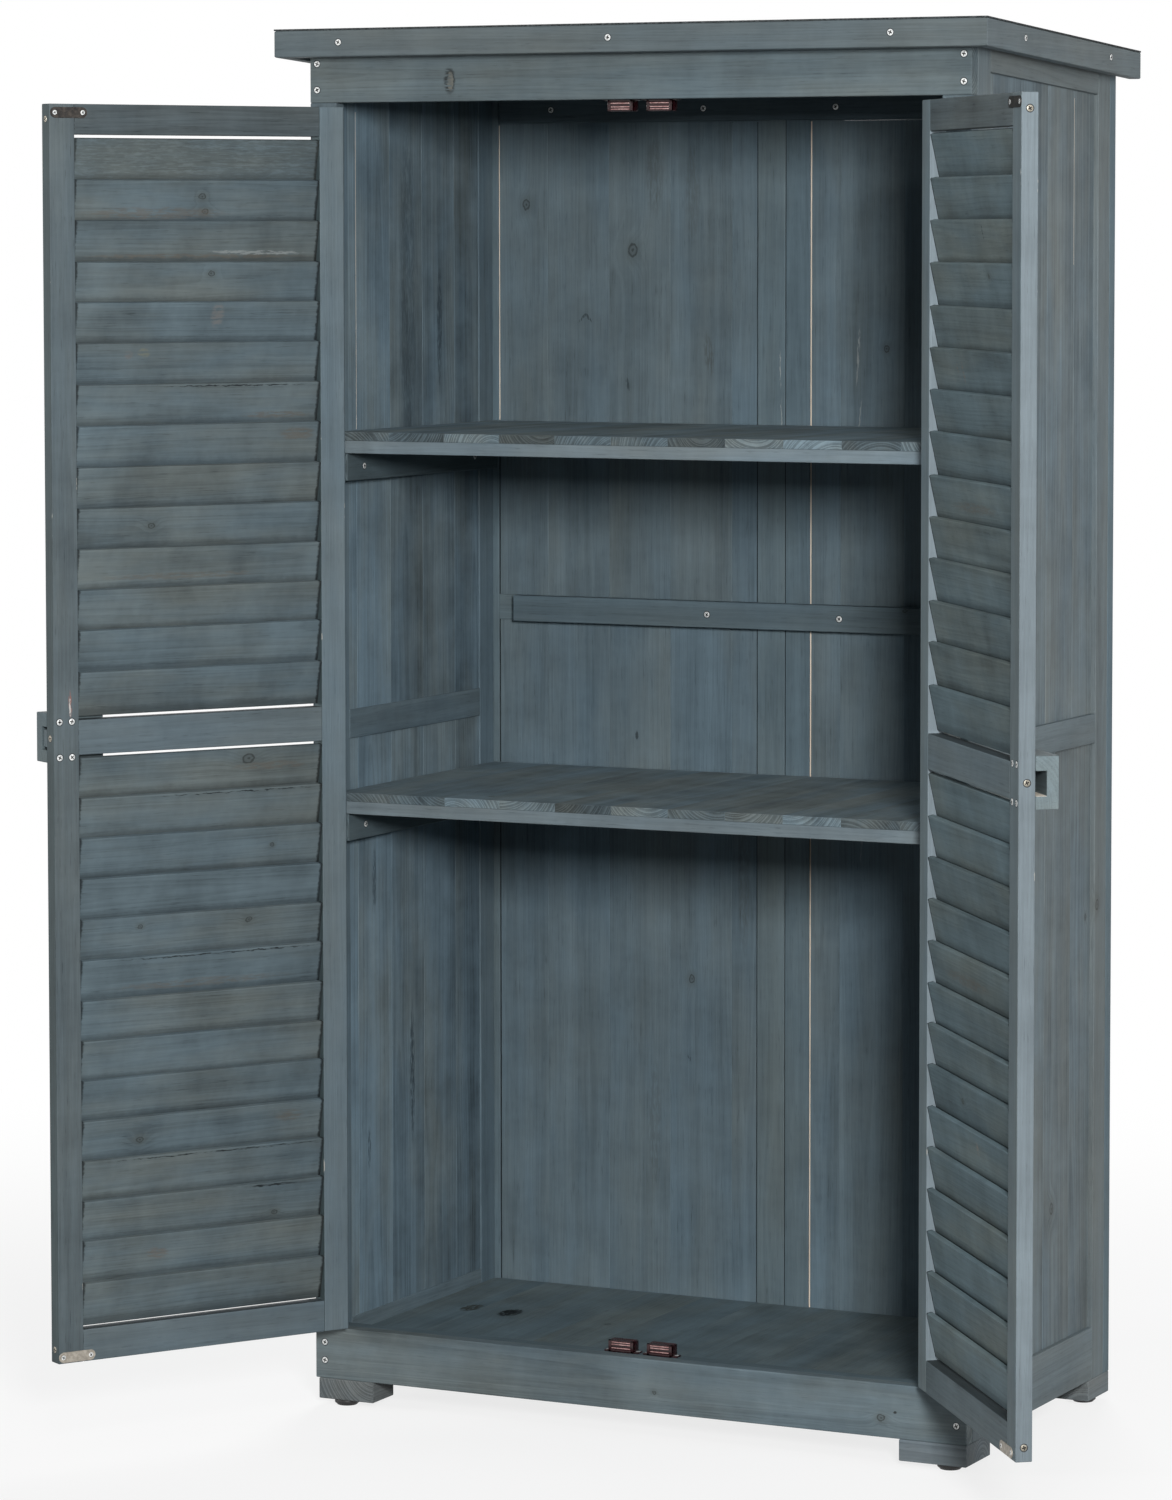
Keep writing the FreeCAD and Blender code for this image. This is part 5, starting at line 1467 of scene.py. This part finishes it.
for side in (-1, 1):
    for x, heights in BOARD_END_SCREWS.values():
        carcass_heads += [((side * x, 0, z), FRONT) for z in heights]
    carcass_heads += [((side * ROOF_HALF, y, roof_top(y) - SIDE_FASCIA_SCREW_DROP), (side, 0, 0))
                      for y in SIDE_FASCIA_SCREWS]
    for shelf_top in SHELF_TOPS.values():
        support_mid = shelf_top - PLANK - SHELF_BATTEN - SUPPORT_HIGH / 2
        carcass_heads += [((side * (INNER - BATTEN), y, support_mid), (-side, 0, 0)) for y in SUPPORT_SCREWS]
for across, y, z in (FRONT_FASCIA_SCREWS, TOP_BATTEN_SCREWS, MID_BATTEN_SCREWS):
    carcass_heads += [((x, y, z), FRONT) for x in across]
small_heads = [((side * (OPENING_HALF + LEAF_SCREW_OUT), -LEAF, z + up), FRONT)
               for side in (-1, 1) for z in HINGE_MIDDLES for up in LEAF_SCREWS]
for base_z, way in CATCH_ENDS:
    ear_y, ear_z = CATCH_FRONT + CATCH_DEPTH / 2, base_z + way * CATCH_BASE
    small_heads += [((x + end * (CATCH_WIDE + CATCH_EAR) / 2, ear_y, ear_z), (0, 0, way))
                    for x in CATCH_MIDDLES for end in (-1, 1)]
drawn = [screw_head(*h) for h in carcass_heads] + [screw_head(*h, SMALL_R, SMALL_HEAD) for h in small_heads]
cast("carcass_screw_heads", [head for head, slot in drawn], zinc, "carcass", "carcass_screws")
cast("carcass_screw_slots", [slot for head, slot in drawn], slot_painted_shade, "carcass")
cast("carcass_screw_collars", [painted_shade_ring(*h) for h in carcass_heads], ring_shade_finish, "carcass")

# The screws of the doors, which turn with them
BLOCK_SCREWS = [(along, z) for z in (772.0, 811.5) for along in (347.0, 362.0)]
RAIL_SCREWS = (110.0, 793.0, 1475.0)
STRIKE_SCREW_OUT = 17.0
for side in (-1, 1):
    body = DOOR_BODY[side]
    door_heads = [((door_x(side, along), TIMBER, z), INSIDE) for along, z in BLOCK_SCREWS]
    edge_heads = [((door_x(side, along), TIMBER / 2, z), (facing * side, 0, 0))
                  for along, facing in ((0, 1), (DOOR_WIDTH, -1)) for z in RAIL_SCREWS]
    door_small = [((side * (OPENING_HALF - LEAF_SCREW_OUT), -LEAF, z + up), FRONT)
                  for z in HINGE_MIDDLES for up in LEAF_SCREWS]
    for place_name, z in STRIKE_Z.items():
        plate_middle = STRIKE_MIDDLES[side][place_name]
        door_small += [((door_x(side, plate_middle + end * STRIKE_SCREW_OUT), TIMBER + STRIKE, z), INSIDE)
                       for end in (-1, 1)]
    turn = opened(side)
    drawn = [screw_head(*h, place=turn) for h in door_heads]
    drawn += [screw_head(*h, SMALL_R, SMALL_HEAD, turn) for h in door_small]
    cast(f"{body}_screw_heads", [head for head, slot in drawn], zinc, body, f"{body}_screws")
    edge_drawn = [screw_head(*h, place=turn) for h in edge_heads]
    cast(f"{body}_edge_screw_heads", [head for head, slot in edge_drawn], edge_brass, body)
    cast(f"{body}_screw_slots", [slot for head, slot in drawn + edge_drawn], slot_painted_shade, body)
    collars = [painted_shade_ring(*h, place=turn) for h in door_heads + edge_heads]
    cast(f"{body}_screw_collars", collars, ring_shade_finish, body)


# Studio: a plain pale floor that fades into a white room, five soft lamps and
# the camera where the photograph was taken from. The key lamp stands at the
# front right. Places here are in metres in the frame.
FLOOR_REACH = 40.0
ROOM_LEVEL = 0.010
FLOOR_BOUNCE = (0.15, 0.15, 0.15, 1)
FLOOR_SEEN = (0.9, 0.9, 0.9, 1)
WHITE = (1, 1, 1, 1)
bpy.context.scene.view_settings.view_transform = "Standard"


def seen_straight(tree):
    """1 where a ray is the camera's, or comes to it over gloss or through glass."""
    rays = tree.nodes.new("ShaderNodeLightPath").outputs
    seen = calc(tree, "MAXIMUM", rays["Is Camera Ray"], rays["Is Glossy Ray"])
    return calc(tree, "MAXIMUM", seen, rays["Is Transmission Ray"])


floor_mesh = bpy.data.meshes.new("studio_floor")
floor_corners = [(a * FLOOR_REACH, b * FLOOR_REACH, 0) for a, b in ((-1, -1), (1, -1), (1, 1), (-1, 1))]
floor_mesh.from_pydata(floor_corners, [], [(0, 1, 2, 3)])
studio_floor = bpy.data.objects.new("studio_floor", floor_mesh)
bpy.context.scene.collection.objects.link(studio_floor)
pale_floor, pale_tree, pale_shader = new_finish("pale_studio_floor")
pale_shader.inputs["Roughness"].default_value = 0.9
pale_shader.inputs["Specular IOR Level"].default_value = 0.1
glow = knit(pale_tree, "Emission", WHITE, 1.0)
far = knit(pale_tree, "VectorMath", knit(pale_tree, "TexCoord", out=3), operation="LENGTH", out=1)
seen = seen_straight(pale_tree)
pale_tree.links.new(tint(pale_tree, seen, FLOOR_BOUNCE, FLOOR_SEEN), pale_shader.inputs["Base Color"])
blend_share = calc(pale_tree, "MULTIPLY", rise(pale_tree, far, 0.9, 2.6, 0.8, 1.0), seen)
mixed = knit(pale_tree, "MixShader", blend_share, pale_shader.outputs[0], glow)
pale_tree.links.new(mixed, pale_tree.nodes["Material Output"].inputs["Surface"])
floor_mesh.materials.append(pale_floor)

world = bpy.data.worlds.new("white_room")
world.use_nodes = True
bpy.context.scene.world = world
room = world.node_tree
room_light = room.nodes["Background"]
room_light.inputs["Color"].default_value = WHITE
room_strength = calc(room, "MULTIPLY_ADD", seen_straight(room), 1.0 - ROOM_LEVEL, ROOM_LEVEL)
room.links.new(room_strength, room_light.inputs["Strength"])


def soft_lamp(name, place, aim, width, height, watts):
    """A softbox that stands at a place and is turned to its aim."""
    lamp = bpy.data.lights.new(name, "AREA")
    lamp.shape = "RECTANGLE"
    lamp.size, lamp.size_y, lamp.energy = width, height, watts
    softbox = bpy.data.objects.new(name, lamp)
    softbox.location = place
    softbox.rotation_euler = (Vector(aim) - Vector(place)).to_track_quat("-Z", "Y").to_euler()
    bpy.context.scene.collection.objects.link(softbox)


soft_lamp("key_softbox", (2.78, -4.44, 2.0), (0.05, 0.2, 0.75), 0.80, 0.85, 246)
soft_lamp("right_softbox", (4.73, -0.83, 1.1), (0.0, 0.2, 0.7), 1.6, 1.6, 55)
soft_lamp("left_softbox", (-4.53, -2.11, 1.3), (0.0, 0.2, 0.7), 1.4, 1.4, 101)
soft_lamp("top_softbox", (1.2, -2.6, 3.6), (0.0, 0.1, 0.9), 1.2, 1.2, 22)
soft_lamp("rear_softbox", (-1.4, 4.9, 2.2), (0.0, 0.3, 0.8), 1.8, 1.8, 180)

CAMERA_PLACE = (2.58399, -5.42621, 1.35671)
LOOKING_DOWN, LEANING, TURNED_LEFT = 3.9653, 0.058, 26.3045
lens = bpy.data.cameras.new("studio_camera")
lens.lens = 129.32
lens.shift_y = -0.10
lens.clip_start, lens.clip_end = 0.5, 100
viewer = bpy.data.objects.new("studio_camera", lens)
viewer.location = CAMERA_PLACE
viewer.rotation_euler = (math.radians(90 - LOOKING_DOWN), math.radians(LEANING), math.radians(TURNED_LEFT))
bpy.context.scene.collection.objects.link(viewer)
bpy.context.scene.camera = viewer
